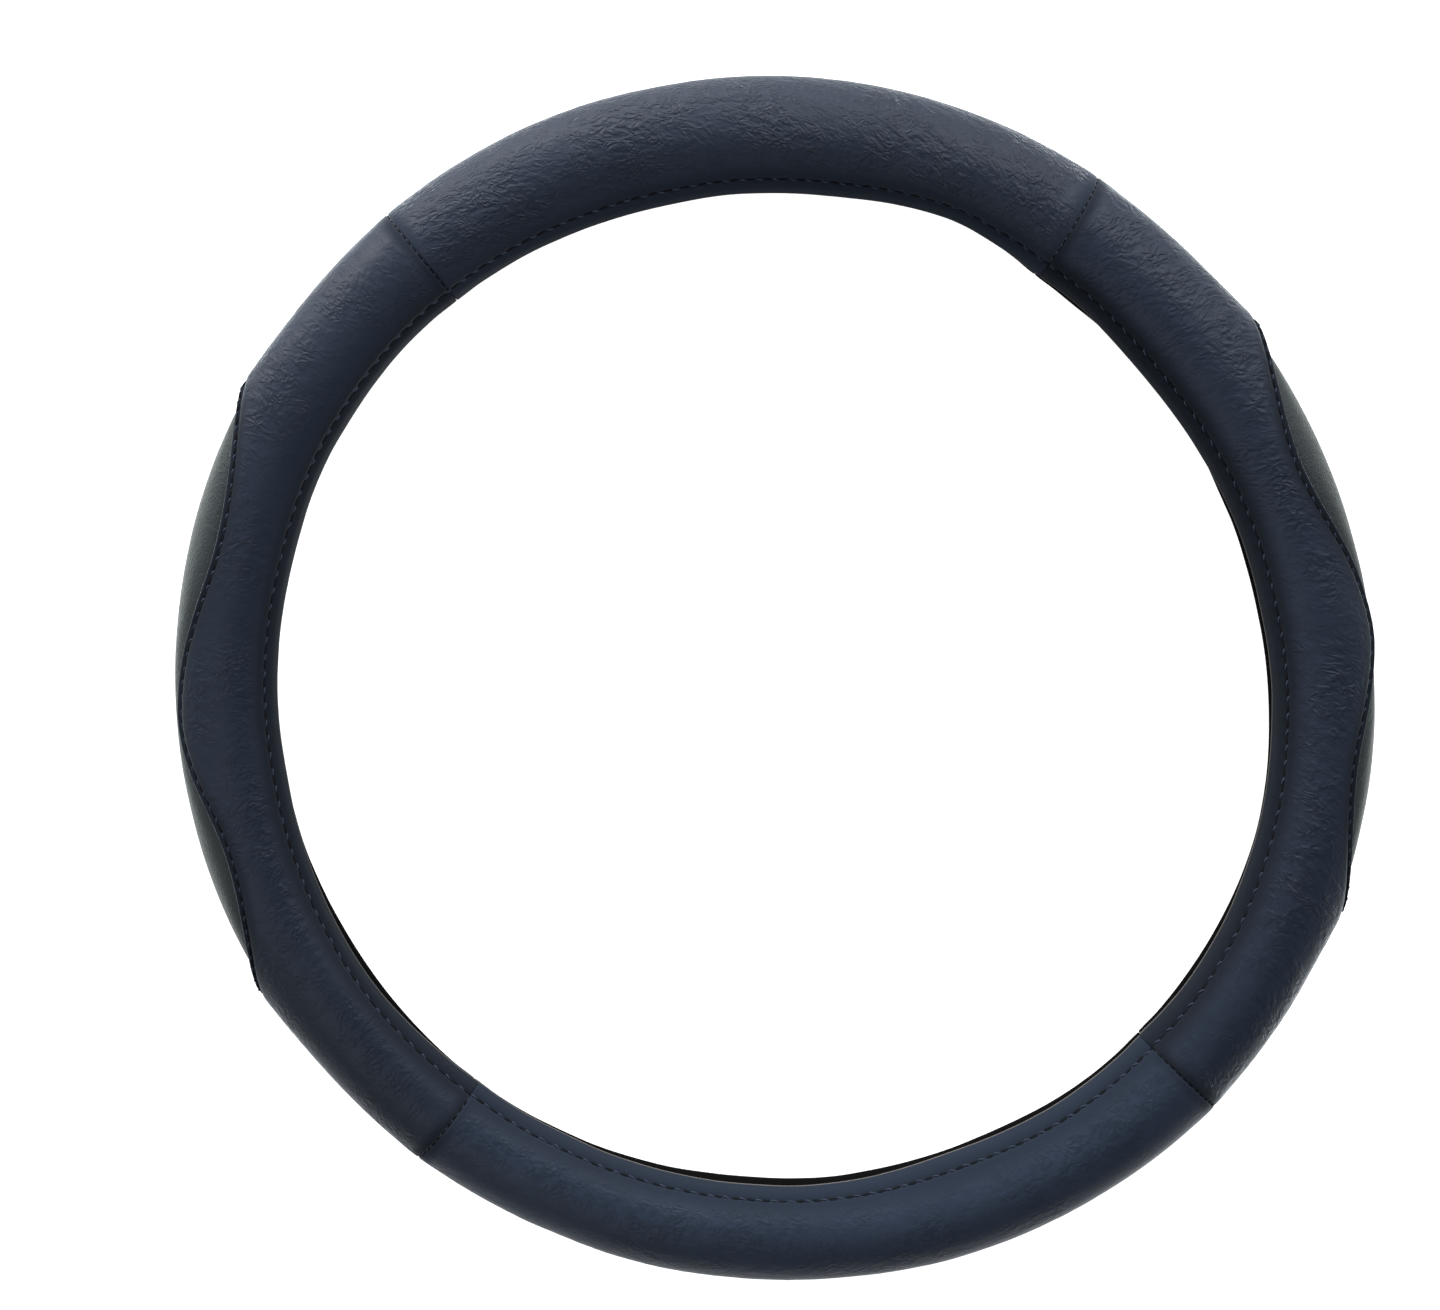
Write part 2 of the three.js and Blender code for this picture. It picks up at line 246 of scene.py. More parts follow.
# %% The wavy line round a grip
def wave_height(side, angle, inset):
    """Half height of the wavy outline, as a section angle, moved in from the stitches by an inset."""
    end_inset = math.degrees(inset / OUTER_RADIUS)
    height_inset = math.degrees(inset / HALF_WIDTH)
    start, end = WAVE_START + end_inset, WAVE_END - end_inset
    lower, upper = [height - height_inset for height in GRIP_HEIGHTS[side]]
    waist = WAIST_HEIGHT - height_inset

    def rise(peak, share):
        turn = np.sin(np.clip(share, 0, 1) * math.pi / 2) ** WAVE_END_ROUNDNESS
        return WAVE_END_HEIGHT + (peak - WAVE_END_HEIGHT) * turn

    def fall(high, low, share):
        return high + (low - high) * (1 - np.cos(np.clip(share, 0, 1) * math.pi)) / 2

    first = rise(lower, (angle - start) / (WAVE_LOWER_PEAK - start))
    second = fall(lower, waist, (angle - WAVE_LOWER_PEAK) / (WAVE_WAIST - WAVE_LOWER_PEAK))
    third = fall(waist, upper, (angle - WAVE_WAIST) / (WAVE_UPPER_PEAK - WAVE_WAIST))
    fourth = rise(upper, (end - angle) / (end - WAVE_UPPER_PEAK))
    lower_half = np.where(angle < WAVE_LOWER_PEAK, first, second)
    upper_half = np.where(angle < WAVE_UPPER_PEAK, third, fourth)
    return np.where(angle < WAVE_WAIST, lower_half, upper_half)


def right_side_angle(side, ring):
    """The ring angle, as it would be on the right side."""
    angle = 180 - ring if side == "left" else ring
    return (angle + 180) % 360 - 180


def wave_angles(inset, count):
    """Ring angles along a wavy outline on the right side, closer together at its ends."""
    turn = np.linspace(0, math.pi, count)
    middle = (WAVE_START + WAVE_END) / 2
    half = (WAVE_END - WAVE_START) / 2 - math.degrees(inset / OUTER_RADIUS)
    return middle - half * np.cos(turn)


def wave_outline(side, inset, count):
    """Ring and section angles of points all the way round a wavy outline."""
    angle = wave_angles(inset, count)
    height = wave_height(side, angle, inset)
    angles = np.concatenate([angle, angle[::-1]])
    heights = np.concatenate([height, -height[::-1]])
    rings = 180 - angles if side == "left" else angles
    return rings, heights


# %% Distance from the edge of a window
EDGE_POINTS = 220
EDGE_BATCH = 20
WINDOW_RADIUS = OUTER_RADIUS - 0.2 * HALF_WIDTH


def window_distance(side, ring, section):
    """Distance from the edge of the window, in metres: positive on the leather, negative inside."""
    edge_ring, edge_section = wave_outline(side, STITCH_TO_WINDOW, EDGE_POINTS)
    scale_ring = math.radians(1) * WINDOW_RADIUS
    scale_section = math.radians(1) * HALF_WIDTH
    edge_x = right_side_angle(side, edge_ring) * scale_ring
    edge_y = edge_section * scale_section
    angle = right_side_angle(side, ring)
    x, y = angle * scale_ring, section * scale_section
    step_x, step_y = np.roll(edge_x, -1) - edge_x, np.roll(edge_y, -1) - edge_y
    length_squared = step_x**2 + step_y**2
    nearest = np.full(x.shape, np.inf)
    for start in range(0, len(edge_x), EDGE_BATCH):
        part = slice(start, start + EDGE_BATCH)
        gap_x, gap_y = x[..., None] - edge_x[part], y[..., None] - edge_y[part]
        share = (gap_x * step_x[part] + gap_y * step_y[part]) / length_squared[part]
        share = np.clip(share, 0, 1)
        squared = (gap_x - share * step_x[part]) ** 2 + (gap_y - share * step_y[part]) ** 2
        nearest = np.minimum(nearest, np.sqrt(squared.min(-1)))
    between_ends = (angle > WINDOW_START) & (angle < WINDOW_END)
    inside = between_ends & (np.abs(section) < wave_height(side, angle, STITCH_TO_WINDOW))
    return np.where(inside, -nearest, nearest)


# %% [markdown]
# ## The height of the leather
#
# Each term below is something a sewer would point at: the roll of the liner, the wrinkles across
# the ring, the valley of the hem with the puckers that the stitches pull, the fold that stands up
# round a window, and the edge of a panel that dives into a seam. Wrinkles of 4 mm and more are
# shaped here, and the finer creases are left to the finish.

# %% Rolls and wrinkles
WRINKLE = 0.14 * MM
WRINKLE_DRIFT = 3.5 * MM


def rolling(along, across):
    """How the liner pushes the leather about: broad hills of 0.26 mm, and smaller ones between."""
    broad = 0.26 * MM * hills(along, across, 34 * MM, 26 * MM, 11)
    return broad + 0.12 * MM * hills(along, across, 14 * MM, 15 * MM, 12)


def wrinkles(ring, along, across):
    """Wrinkles: across the ring at the sides, in all directions at the top."""
    towards_side = np.abs(np.cos(np.radians(ring))) ** 1.5
    drift = WRINKLE_DRIFT * hills(along, across, 11 * MM, 11 * MM, 21)
    across_ring = creases(along + drift, across + drift, 4.2 * MM, 13 * MM, 22)
    any_way = creases(along + drift, across - drift, 4.6 * MM, 5.2 * MM, 23)
    patches = 0.45 + 0.55 * hills(along, across, 24 * MM, 20 * MM, 24)
    mixed = towards_side * across_ring + (1 - towards_side) * any_way
    return WRINKLE * mixed * np.clip(patches, 0.15, 1)


# %% The hems
HEM_STITCHES = 196
# Each form beside a line of stitches has a height, a distance from the line and a width
HEM_VALLEY, HEM_VALLEY_WIDTH = 0.38 * MM, 0.75 * MM
HEM_STRIP, HEM_STRIP_AWAY, HEM_STRIP_WIDTH = 0.22 * MM, 3.0 * MM, 1.7 * MM
SHOULDER, SHOULDER_AWAY, SHOULDER_WIDTH = 0.18 * MM, 3.2 * MM, 2.2 * MM
PUCKER, PUCKER_WIDTH = 0.08 * MM, 2.4 * MM


def hem_height(ring, along, past_stitch, seed):
    """The valley of a hem's stitches, the full strip beyond it, and the puckers on both sides."""
    valley = -HEM_VALLEY * bell(past_stitch, HEM_VALLEY_WIDTH)
    strip = HEM_STRIP * bell(past_stitch - HEM_STRIP_AWAY, HEM_STRIP_WIDTH)
    shoulder = SHOULDER * bell(past_stitch + SHOULDER_AWAY, SHOULDER_WIDTH)
    strength = 0.5 + 0.5 * hills(along, 0 * along, 22 * MM, 1, seed)
    pull = np.cos(np.radians(ring - SEAM_ANGLES[0]) * HEM_STITCHES) * strength
    return valley + strip + shoulder - PUCKER * pull * bell(past_stitch, PUCKER_WIDTH)


# %% The fold round a window
FOLD_RADIUS = 1.0 * MM
FOLD_DROP = 1.3 * MM
FOLD_LIFT, FOLD_LIFT_AWAY, FOLD_LIFT_WIDTH = 0.4 * MM, 1.3 * MM, 0.8 * MM
WAVE_VALLEY, WAVE_VALLEY_WIDTH = 0.36 * MM, 0.65 * MM
FOLD_SHOULDER, FOLD_SHOULDER_AWAY = 0.2 * MM, 2.4 * MM


def fold_height(side, ring, section):
    """The folded edge of a window, its line of stitches, and how both stand off the tube."""
    distance = window_distance(side, ring, section)
    fold = 1 - np.clip(distance / FOLD_RADIUS, 0, 1)
    drop = -FOLD_DROP * (1 - np.sqrt(1 - fold**2))
    lift = FOLD_LIFT * bell(distance - FOLD_LIFT_AWAY, FOLD_LIFT_WIDTH)
    past_stitch = distance - STITCH_TO_WINDOW
    valley = -WAVE_VALLEY * bell(past_stitch, WAVE_VALLEY_WIDTH)
    shoulder = FOLD_SHOULDER * bell(past_stitch - FOLD_SHOULDER_AWAY, SHOULDER_WIDTH)
    angle = right_side_angle(side, ring)
    ends = bell(angle - WAVE_START, SWELL_REACH) + bell(angle - WAVE_END, SWELL_REACH)
    waist = bell(angle - WAVE_WAIST, SWELL_REACH)
    swell = (FOLD_SWELL * ends + WAIST_SWELL * waist) * outside_share(section)
    return drop + lift + valley + shoulder + swell


# %% The edges at the seams
SEAM_DROP = 1.3 * MM
SEAM_ROUND = 0.6 * MM
SEAM_SWELL, SEAM_SWELL_AWAY, SEAM_SWELL_WIDTH = 0.22 * MM, 2.2 * MM, 4.5 * MM
SEAM_SIDE = 20 * MM


def distance_from_seam(ring, seam):
    """Distance along the ring from a seam, in metres."""
    return np.abs(ring - seam) * math.radians(1) * RING_RADIUS


def seam_height(ring, belly):
    """The edge of a panel, which dives into the seam on the belly and stands up just beside it."""
    height = 0 * ring
    for seam in SEAM_ANGLES:
        away = np.maximum(distance_from_seam(ring, seam) - SEAM_GAP / 2, 0)
        edge = 1 - np.clip(away / SEAM_ROUND, 0, 1)
        height = height - SEAM_DROP * (0.2 + 0.8 * belly) * (1 - np.sqrt(1 - edge**2))
        height = height + SEAM_SWELL * bell(away - SEAM_SWELL_AWAY, SEAM_SWELL_WIDTH) * (away < SEAM_SIDE)
    return height


# %% Where creases show
# How far the leather is smooth beside each edge, and how soon its creases reach full depth
HEM_SMOOTH, HEM_CREASE_REACH = 1 * MM, 7 * MM
SEAM_SMOOTH, SEAM_CREASE_REACH, SEAM_CREASES_LEFT = 0.8 * MM, 4 * MM, 0.15
WINDOW_CREASE_REACH = 5 * MM


def creasing(ring, section, side):
    """1 on the belly, and 0 where a hem, a seam or the edge of a window stretches the leather smooth."""
    across = np.radians(section) * HALF_WIDTH
    from_hems = [
        math.radians(FRONT_STITCH) * HALF_WIDTH - across,
        across - math.radians(REAR_STITCH) * HALF_WIDTH,
    ]
    front, rear = [ease((away - HEM_SMOOTH) / HEM_CREASE_REACH) for away in from_hems]
    amount = front * rear
    for seam in SEAM_ANGLES:
        share = ease((distance_from_seam(ring, seam) - SEAM_SMOOTH) / SEAM_CREASE_REACH)
        amount = amount * (SEAM_CREASES_LEFT + (1 - SEAM_CREASES_LEFT) * share)
    if side:
        away = window_distance(side, ring, section) - STITCH_TO_WINDOW
        amount = amount * ease(away / WINDOW_CREASE_REACH)
    return amount


# %% The whole height
BELLY_REACH = 9 * MM
SEAM_END_REACH = 2 * MM


def leather_height(ring, section, side=None):
    """Height of the leather over the smooth tube. For a side panel, side names its window."""
    along = np.radians(ring) * RING_RADIUS
    across = np.radians(section) * HALF_WIDTH
    front = across - math.radians(FRONT_STITCH) * HALF_WIDTH
    rear = math.radians(REAR_STITCH) * HALF_WIDTH - across
    belly = ease(-front / BELLY_REACH) * ease(-rear / BELLY_REACH)
    height = rolling(along, across) + wrinkles(ring, along, across) * (0.25 + 0.75 * belly)
    height = height + hem_height(ring, along, front, 31) + hem_height(ring, along, rear, 32)
    height = height + seam_height(ring, ease(-front / SEAM_END_REACH) * ease(-rear / SEAM_END_REACH))
    height = height + outer_swell(ring, section)
    if side:
        height = height + fold_height(side, ring, section)
    return height


# %% Meshes from grids of points
def make_object(name, points, quads, material, others=()):
    """An object from points and four-cornered faces, plus any faces with more corners."""
    mesh = bpy.data.meshes.new(name)
    faces = [tuple(face) for face in quads] + [tuple(face) for face in others]
    mesh.from_pydata(points, [], faces)
    mesh.materials.append(material)
    mesh.polygons.foreach_set("use_smooth", [True] * len(mesh.polygons))
    made = bpy.data.objects.new(name, mesh)
    bpy.context.scene.collection.objects.link(made)
    print(f"{name}: {len(mesh.vertices)} points, {sum(len(f) - 2 for f in faces)} triangles")
    return made


def grid_quads(index, closed_rows=False):
    """Faces between neighbouring rows and columns of a grid of point numbers."""
    lower = index if closed_rows else index[:-1]
    upper = np.roll(index, -1, axis=0) if closed_rows else index[1:]
    return np.stack([lower[:, :-1], lower[:, 1:], upper[:, 1:], upper[:, :-1]], axis=-1)


TENTH = 0.1


def add_skin_map(made, ring, section):
    """A UV map that runs along the ring and round the tube, in tenths of a metre."""
    layer = made.data.uv_layers.new(name="skin")
    corners = np.empty(len(made.data.loops), dtype=np.int32)
    made.data.loops.foreach_get("vertex_index", corners)
    along = np.radians(ring) * RING_RADIUS / TENTH
    across = np.radians(section) * HALF_WIDTH / TENTH
    both = np.stack([along[corners], across[corners]], axis=-1)
    layer.data.foreach_set("uv", both.astype(np.float32).ravel())


# %% [markdown]
# ## Finishes
#
# The leather is coated, so most of what shows is a soft sheen over a dark navy ground, with a net
# of little creases. A photograph of leather as a texture would be quick, but it repeats and brings
# its own light along. Here a Voronoi texture gives the cracks between small smooth plates, and
# noise bends them, breaks them and leaves calm patches. Each hide has creases of its own size that
# lean its own way. At the hems the leather is stretched flat and more matt. Painted shade and light
# are in the colour too: it is darker in the creases and at the hems, and each panel is made lighter
# or darker to match how brightly its side is lit.
#
# Shader maths is easier to read as Python than as a net of nodes, so a small class wraps a socket,
# and writing `0.4 + 0.1 * grain` adds the Math nodes. A second class holds one material.


# %% Shader maths as expressions
class Wire:
    """A socket that carries a number, with arithmetic that adds Math nodes."""

    def __init__(self, finish, socket):
        self.finish = finish
        self.socket = socket

    def maths(self, operation, first, second):
        return self.finish.add("ShaderNodeMath", {"operation": operation}, {0: first, 1: second})

    def __add__(self, other):
        return self.maths("ADD", self, other)

    def __radd__(self, other):
        return self.maths("ADD", other, self)

    def __sub__(self, other):
        return self.maths("SUBTRACT", self, other)

    def __rsub__(self, other):
        return self.maths("SUBTRACT", other, self)

    def __mul__(self, other):
        return self.maths("MULTIPLY", self, other)

    def __rmul__(self, other):
        return self.maths("MULTIPLY", other, self)


class Finish:
    """One material, with the nodes added in the order in which they are thought of."""

    def __init__(self, name):
        self.material = bpy.data.materials.new(name)
        self.material.use_nodes = True
        self.tree = self.material.node_tree
        self.tree.nodes.clear()

    def add(self, kind, settings=None, inputs=None, output=0):
        """Adds a node: its settings first, then the values or wires of its sockets."""
        node = self.tree.nodes.new(kind)
        for name, value in (settings or {}).items():
            setattr(node, name, value)
        for name, value in (inputs or {}).items():
            if isinstance(value, Wire):
                self.tree.links.new(value.socket, node.inputs[name])
            else:
                node.inputs[name].default_value = value
        return Wire(self, node.outputs[output]) if node.outputs else None

    def blend(self, factor, first, second):
        """A mix of two colours. Sockets 6 and 7 and output 2 are the Mix node's own for colours."""
        return self.add("ShaderNodeMix", {"data_type": "RGBA"}, {0: factor, 6: first, 7: second}, 2)

    def skin(self, scale_along, scale_across, seed=0.0, lean=0.0):
        """The leather's own map, turned by the lean and stretched for a texture with a direction."""
        skin_map = self.add("ShaderNodeUVMap", {"uv_map": "skin"})
        turned = self.add("ShaderNodeMapping", {}, {
            "Vector": skin_map,
            "Rotation": (0, 0, math.radians(lean)),
        })
        return self.add("ShaderNodeMapping", {}, {
            "Vector": turned,
            "Location": (seed, 2 * seed, 0),
            "Scale": (scale_along, scale_across, 1),
        })

    def noise(self, vector, scale, detail=2.0, roughness=0.5, distortion=0.0):
        return self.add("ShaderNodeTexNoise", {}, {
            "Vector": vector,
            "Scale": scale,
            "Detail": detail,
            "Roughness": roughness,
            "Distortion": distortion,
        })

    def finish_with(self, shader):
        self.add("ShaderNodeOutputMaterial", {}, {"Surface": shader})
        return self.material


# %% Navy leather
def shaded(colour, shading):
    """A colour made lighter or darker by a factor, for painted light and shade."""
    return (*(shading * part for part in colour), 1)


def drifted(finish, place, scale, amount):
    """A place in a texture, pushed about by noise, so that straight lines bend."""
    inputs = {"Vector": place, "Scale": scale, "Detail": 1.0}
    push = finish.add("ShaderNodeTexNoise", {}, inputs, output="Color")
    return finish.add("ShaderNodeVectorMath", {"operation": "MULTIPLY_ADD"}, {
        0: push, 1: (amount, amount, 0), 2: place,
    })


def crease_height(finish, size_along, size_across, lean, seed):
    """Creases, from 0 to 1: a net of broken cracks between smooth plates, and finer crinkles."""
    place = finish.skin(TENTH / size_along, TENTH / size_across, seed, lean)
    swept = drifted(finish, place, 0.15, 5.0)
    edges = finish.add("ShaderNodeTexVoronoi", {"feature": "DISTANCE_TO_EDGE"}, {
        "Vector": drifted(finish, swept, 0.9, 1.2), "Scale": 1.0, "Randomness": 1.0,
    })
    cracks = finish.add("ShaderNodeMapRange", {"interpolation_type": "SMOOTHSTEP"}, {
        "Value": edges, "From Min": 0.0, "From Max": 0.40, "To Min": 1.0, "To Max": 0.0,
    })
    broken = finish.add("ShaderNodeMapRange", {}, {
        "Value": finish.noise(place, 0.55, 2.0), "From Min": 0.34, "From Max": 0.56,
    })
    crinkles = finish.add("ShaderNodeTexNoise", {"noise_type": "RIDGED_MULTIFRACTAL"}, {
        "Vector": place, "Scale": 1.1, "Detail": 2.0, "Roughness": 0.55, "Offset": 0.9, "Gain": 1.5,
    })
    return 0.82 * (cracks * broken) + 0.18 * crinkles


def navy_leather(name, creases, relief, calm, shading, hem_shading, seed):
    """Coated leather, with little creases, a fine grain and a soft sheen.

    The creases are given as their size along and across the ring and their lean in degrees, and the
    relief as their height. Calm is the share of them that is left in the smoothest patches. The
    shading is painted light and shade, which makes the belly's colour lighter or darker to match how
    brightly the panel is lit. The hem shading is painted shade that darkens the hems, and the creases
    are painted darker too.
    """
    finish = Finish(name)
    plain = finish.skin(1, 1)
    belly = finish.add("ShaderNodeAttribute", {"attribute_name": "creasing"}, output="Fac")
    patches = finish.noise(finish.skin(1, 1, seed + 3.0), 4.5, 1.0)
    uneven = finish.add("ShaderNodeMapRange", {}, {
        "Value": patches, "From Min": 0.36, "From Max": 0.62, "To Min": calm, "To Max": 1.0,
    })
    crease = crease_height(finish, *creases, seed) * uneven * belly
    fine = finish.noise(plain, 210.0, 3.0, 0.6)
    broad = finish.noise(finish.skin(1, 1, seed + 5.0), 3.5, 2.0)
    dark, light = (0.0100, 0.0152, 0.0262), (0.0138, 0.0203, 0.0340)
    # Painted shade: towards the hems the colour is darkened by the hem shading.
    shaded_hem_colour = finish.blend(broad, shaded(dark, hem_shading), shaded(light, hem_shading))
    shaded_belly_colour = finish.blend(broad, shaded(dark, shading), shaded(light, shading))
    colour = finish.blend(belly, shaded_hem_colour, shaded_belly_colour)
    # Painted shade: the creases are darkened in the colour, as well as bumped.
    colour = finish.blend(0.35 * crease, colour, shaded(dark, 0.35))
    bump = finish.add("ShaderNodeBump", {}, {
        "Strength": 1.0,
        "Distance": relief,
        "Height": 0.18 * fine - crease,
    })
    shader = finish.add("ShaderNodeBsdfPrincipled", {}, {
        "Base Color": colour,
        "Roughness": 0.85 - 0.43 * belly + 0.10 * broad + 0.06 * fine,
        "Specular IOR Level": 0.11,
        "Sheen Weight": 0.45,
        "Sheen Roughness": 0.30,
        "Sheen Tint": (0.86, 0.95, 1.0, 1),
        "Normal": bump,
    })
    return finish.finish_with(shader)


# %% Grey grip leather
def grip_leather():
    """The padded grips: greyer leather, with finer grain and a little more gloss."""
    finish = Finish("grip_leather")
    plain = finish.skin(1, 1)
    fine = finish.noise(plain, 130.0, 3.0, 0.6)
    creased = finish.noise(finish.skin(1.5, 0.8, 2.0), 34.0, 3.0, 0.5, 0.6)
    broad = finish.noise(finish.skin(1, 1, 4.0), 5.0, 2.0)
    colour = finish.blend(broad, (0.013, 0.0165, 0.0185, 1), (0.020, 0.025, 0.027, 1))
    colour = finish.blend(0.4 * fine, colour, (0.034, 0.040, 0.042, 1))
    bump = finish.add("ShaderNodeBump", {}, {
        "Strength": 1.0,
        "Distance": 0.4 * MM,
        "Height": 0.7 * fine + 0.6 * creased,
    })
    shader = finish.add("ShaderNodeBsdfPrincipled", {}, {
        "Base Color": colour,
        "Roughness": 0.42 + 0.12 * fine,
        "Specular IOR Level": 0.13,
        "Sheen Weight": 0.28,
        "Sheen Roughness": 0.35,
        "Sheen Tint": (0.9, 1.0, 0.96, 1),
        "Normal": bump,
    })
    return finish.finish_with(shader)


# %% Edge, binding, thread and rubber
def mottled(name, scale, dark, light, roughness, gloss):
    """A plain matt finish with a little mottling, for the small dark pieces."""
    finish = Finish(name)
    place = finish.add("ShaderNodeTexCoord", output="Object")
    spots = finish.noise(place, scale, 3.0, 0.6)
    bump = finish.add("ShaderNodeBump", {}, {"Strength": 0.4, "Distance": 0.1 * MM, "Height": spots})
    shader = finish.add("ShaderNodeBsdfPrincipled", {}, {
        "Base Color": finish.blend(spots, (*dark, 1), (*light, 1)),
        "Roughness": roughness + 0.12 * spots,
        "Specular IOR Level": gloss,
        "Normal": bump,
    })
    return finish.finish_with(shader)


# Painted light and shade: each panel's shading makes its colour lighter or darker to match how brightly
# its side is lit, and its hem shading darkens its hems.
LEATHERS = {
    "top": navy_leather(
        "top_leather", creases=(2.5 * MM, 1.6 * MM, 20), relief=0.32 * MM, calm=0.5,
        shading=0.84, hem_shading=0.75, seed=2.0,
    ),
    "right": navy_leather(
        "right_leather", creases=(2.2 * MM, 3.8 * MM, 25), relief=0.34 * MM, calm=0.3,
        shading=0.96, hem_shading=0.36, seed=3.0,
    ),
    "left": navy_leather(
        "left_leather", creases=(2.0 * MM, 3.0 * MM, -10), relief=0.24 * MM, calm=0.3,
        shading=0.84, hem_shading=0.42, seed=4.0,
    ),
    "bottom": navy_leather(
        "bottom_leather", creases=(2.5 * MM, 2.0 * MM, 0), relief=0.14 * MM, calm=0.3,
        shading=1.3, hem_shading=0.75, seed=5.0,
    ),
}
GRIP_LEATHER = grip_leather()
RAW_EDGE = mottled(
    "raw_edge", 900, dark=(0.055, 0.052, 0.049), light=(0.105, 0.10, 0.094), roughness=0.8, gloss=0.02
)
BLACK_BINDING = mottled(
    "black_binding", 500, dark=(0.0014, 0.0014, 0.0016), light=(0.0034, 0.0034, 0.0037),
    roughness=0.8, gloss=0.03,
)
WAXED_THREAD = mottled(
    "waxed_thread", 2600, dark=(0.010, 0.0145, 0.026), light=(0.026, 0.036, 0.058),
    roughness=0.60, gloss=0.15,
)
# Painted shade: the needle holes are near-black caps laid on the leather.
NEEDLE_HOLE_SHADE = mottled(
    "needle_hole_shade", 900, dark=(0.0015, 0.002, 0.003), light=(0.004, 0.005, 0.007), roughness=0.9, gloss=0.1
)
BLACK_RUBBER = mottled(
    "black_rubber", 120, dark=(0.005, 0.005, 0.005), light=(0.011, 0.011, 0.012), roughness=0.7, gloss=0.3
)
print("leathers:", [leather.name for leather in LEATHERS.values()])

# %% [markdown]
# ## The leather panels
#
# A panel is one sheet of leather: up from inside the rear lip, round the outside of the tube and
# down round the front lip. Its section is a closed line of points, carried along the ring. Rows of
# points follow the edge of the window and both hems, so that folds and valleys get fine faces and
# the plain belly gets coarser ones. The window is a real hole: the faces inside it are left out and
# the sheet's two sides are joined round its edge. A Boolean modifier would cut it in one step, but
# it leaves long thin faces beside the cut, and they would show as streaks in the sheen.
#
# Each hem is bound in black on its inside. On the front lip, a light line of raw leather shows
# where skin and binding meet.

# %% Rows round the section
# Distances from the edge of the window and from a lip, closer together where the leather folds
EDGE_ROWS = np.array([0, 0.12, 0.28, 0.5, 0.75, 1.0, 1.3, 1.65, 2.05, 2.4, 2.75, 3.2, 3.8, 4.6, 5.5]) * MM
HEM_ROWS = np.array([0, 0.7, 1.5, 2.4, 3.3, 4.1, 4.8, 5.3, 5.65, 6.05, 6.5, 7.1, 7.9, 9.0]) * MM
FRONT_PLAIN_ROWS = 36
REAR_PLAIN_ROWS = 20
MIDDLE_ROWS = 13
INNER_ROWS = 9
NOSE_ROWS = 12
LIP_SQUARENESS = 0.3
LEATHER_NOSE_ROWS = 1
EDGE_NOSE_ROWS = 2
INNER_NOSE_ROWS = 3
TURN_ROWS = 3


def skin_rows(edge, lip, plain_rows):
    """Section angles from a lip to the edge of the window, for each column of a panel."""
    length = (abs(lip) - edge) * math.radians(1) * HALF_WIDTH
    start = np.broadcast_to(EDGE_ROWS[:, None], (len(EDGE_ROWS), len(edge)))
    end = length[None, :] - HEM_ROWS[::-1][:, None]
    share = (np.arange(1, plain_rows + 1) / (plain_rows + 1))[:, None]
    plain = start[-1:] + (end[:1] - start[-1:]) * share
    away = np.concatenate([start, plain, end])
    return np.sign(lip) * (edge + np.degrees(away / HALF_WIDTH))


def even_rows(start, end, count):
    """Evenly spaced section angles, with both ends, for each column."""
    share = np.linspace(0, 1, count)[:, None]
    return start + (end - start) * share


def nose_rows(lip, outer_depth, inner_depth, count, height, squareness=0.5):
    """The edge of a lip, from its outer to its inner depth. Squareness under 0.5 gives corners."""
    u, v = section_point(lip, (outer_depth + inner_depth) / 2)
    radius = (inner_depth - outer_depth) / 2
    turn = (np.arange(1, count + 1) / (count + 1) * math.pi)[:, None]
    across = np.sign(np.cos(turn)) * np.abs(np.cos(turn)) ** (2 * squareness)
    beyond = np.sin(turn) ** (2 * squareness)
    out_u, out_v = math.cos(math.radians(lip)), math.sin(math.radians(lip))
    on_u, on_v = -out_v * np.sign(lip), out_u * np.sign(lip)
    reach = radius + height * (1 + across) / 2
    rows_u = u + reach * (out_u * across + on_u * beyond)
    rows_v = v + reach * (out_v * across + on_v * beyond)
    return rows_u, rows_v


# %% Columns along a panel
COLUMN_STEP = 0.8 * MM
# Distances from a seam and from the end of a window
FINE_COLUMNS = np.array([0, 0.1, 0.25, 0.45, 0.7, 1.0, 1.35, 1.8, 2.4, 3.1]) * MM


def panel_columns(start, end, stops):
    """Ring angles along a panel, closer together at its ends and at the ends of its window."""
    to_angle = math.degrees(1 / RING_RADIUS)
    fine = [start + FINE_COLUMNS * to_angle, end - FINE_COLUMNS * to_angle]
    for stop in stops:
        fine += [stop - FINE_COLUMNS * to_angle, stop + FINE_COLUMNS * to_angle]
    marks = np.unique(np.round(np.concatenate(fine), 6))
    step = COLUMN_STEP * to_angle
    columns = [marks[0]]
    for low, high in zip(marks[:-1], marks[1:]):
        count = max(1, math.ceil((high - low) / step - 0.01))
        columns += [low + (high - low) * part / count for part in range(1, count + 1)]
    return np.array(columns)


# %% The section of a panel
WINDOW_END_EASE = 10
MIDDLE_HEIGHT = 30
LEATHER_FACES, EDGE_FACES, BINDING_FACES = 0, 1, 2


def window_edge_rows(side, ring):
    """Section angle that the rows follow: the window's edge, and a plain line away from it."""
    if not side:
        return np.full(ring.shape, float(MIDDLE_HEIGHT))
    angle = right_side_angle(side, ring)
    height = wave_height(side, np.clip(angle, WINDOW_START, WINDOW_END), STITCH_TO_WINDOW)
    beyond = np.maximum(WINDOW_START - angle, angle - WINDOW_END)
    return height + (MIDDLE_HEIGHT - height) * ease(beyond / WINDOW_END_EASE)


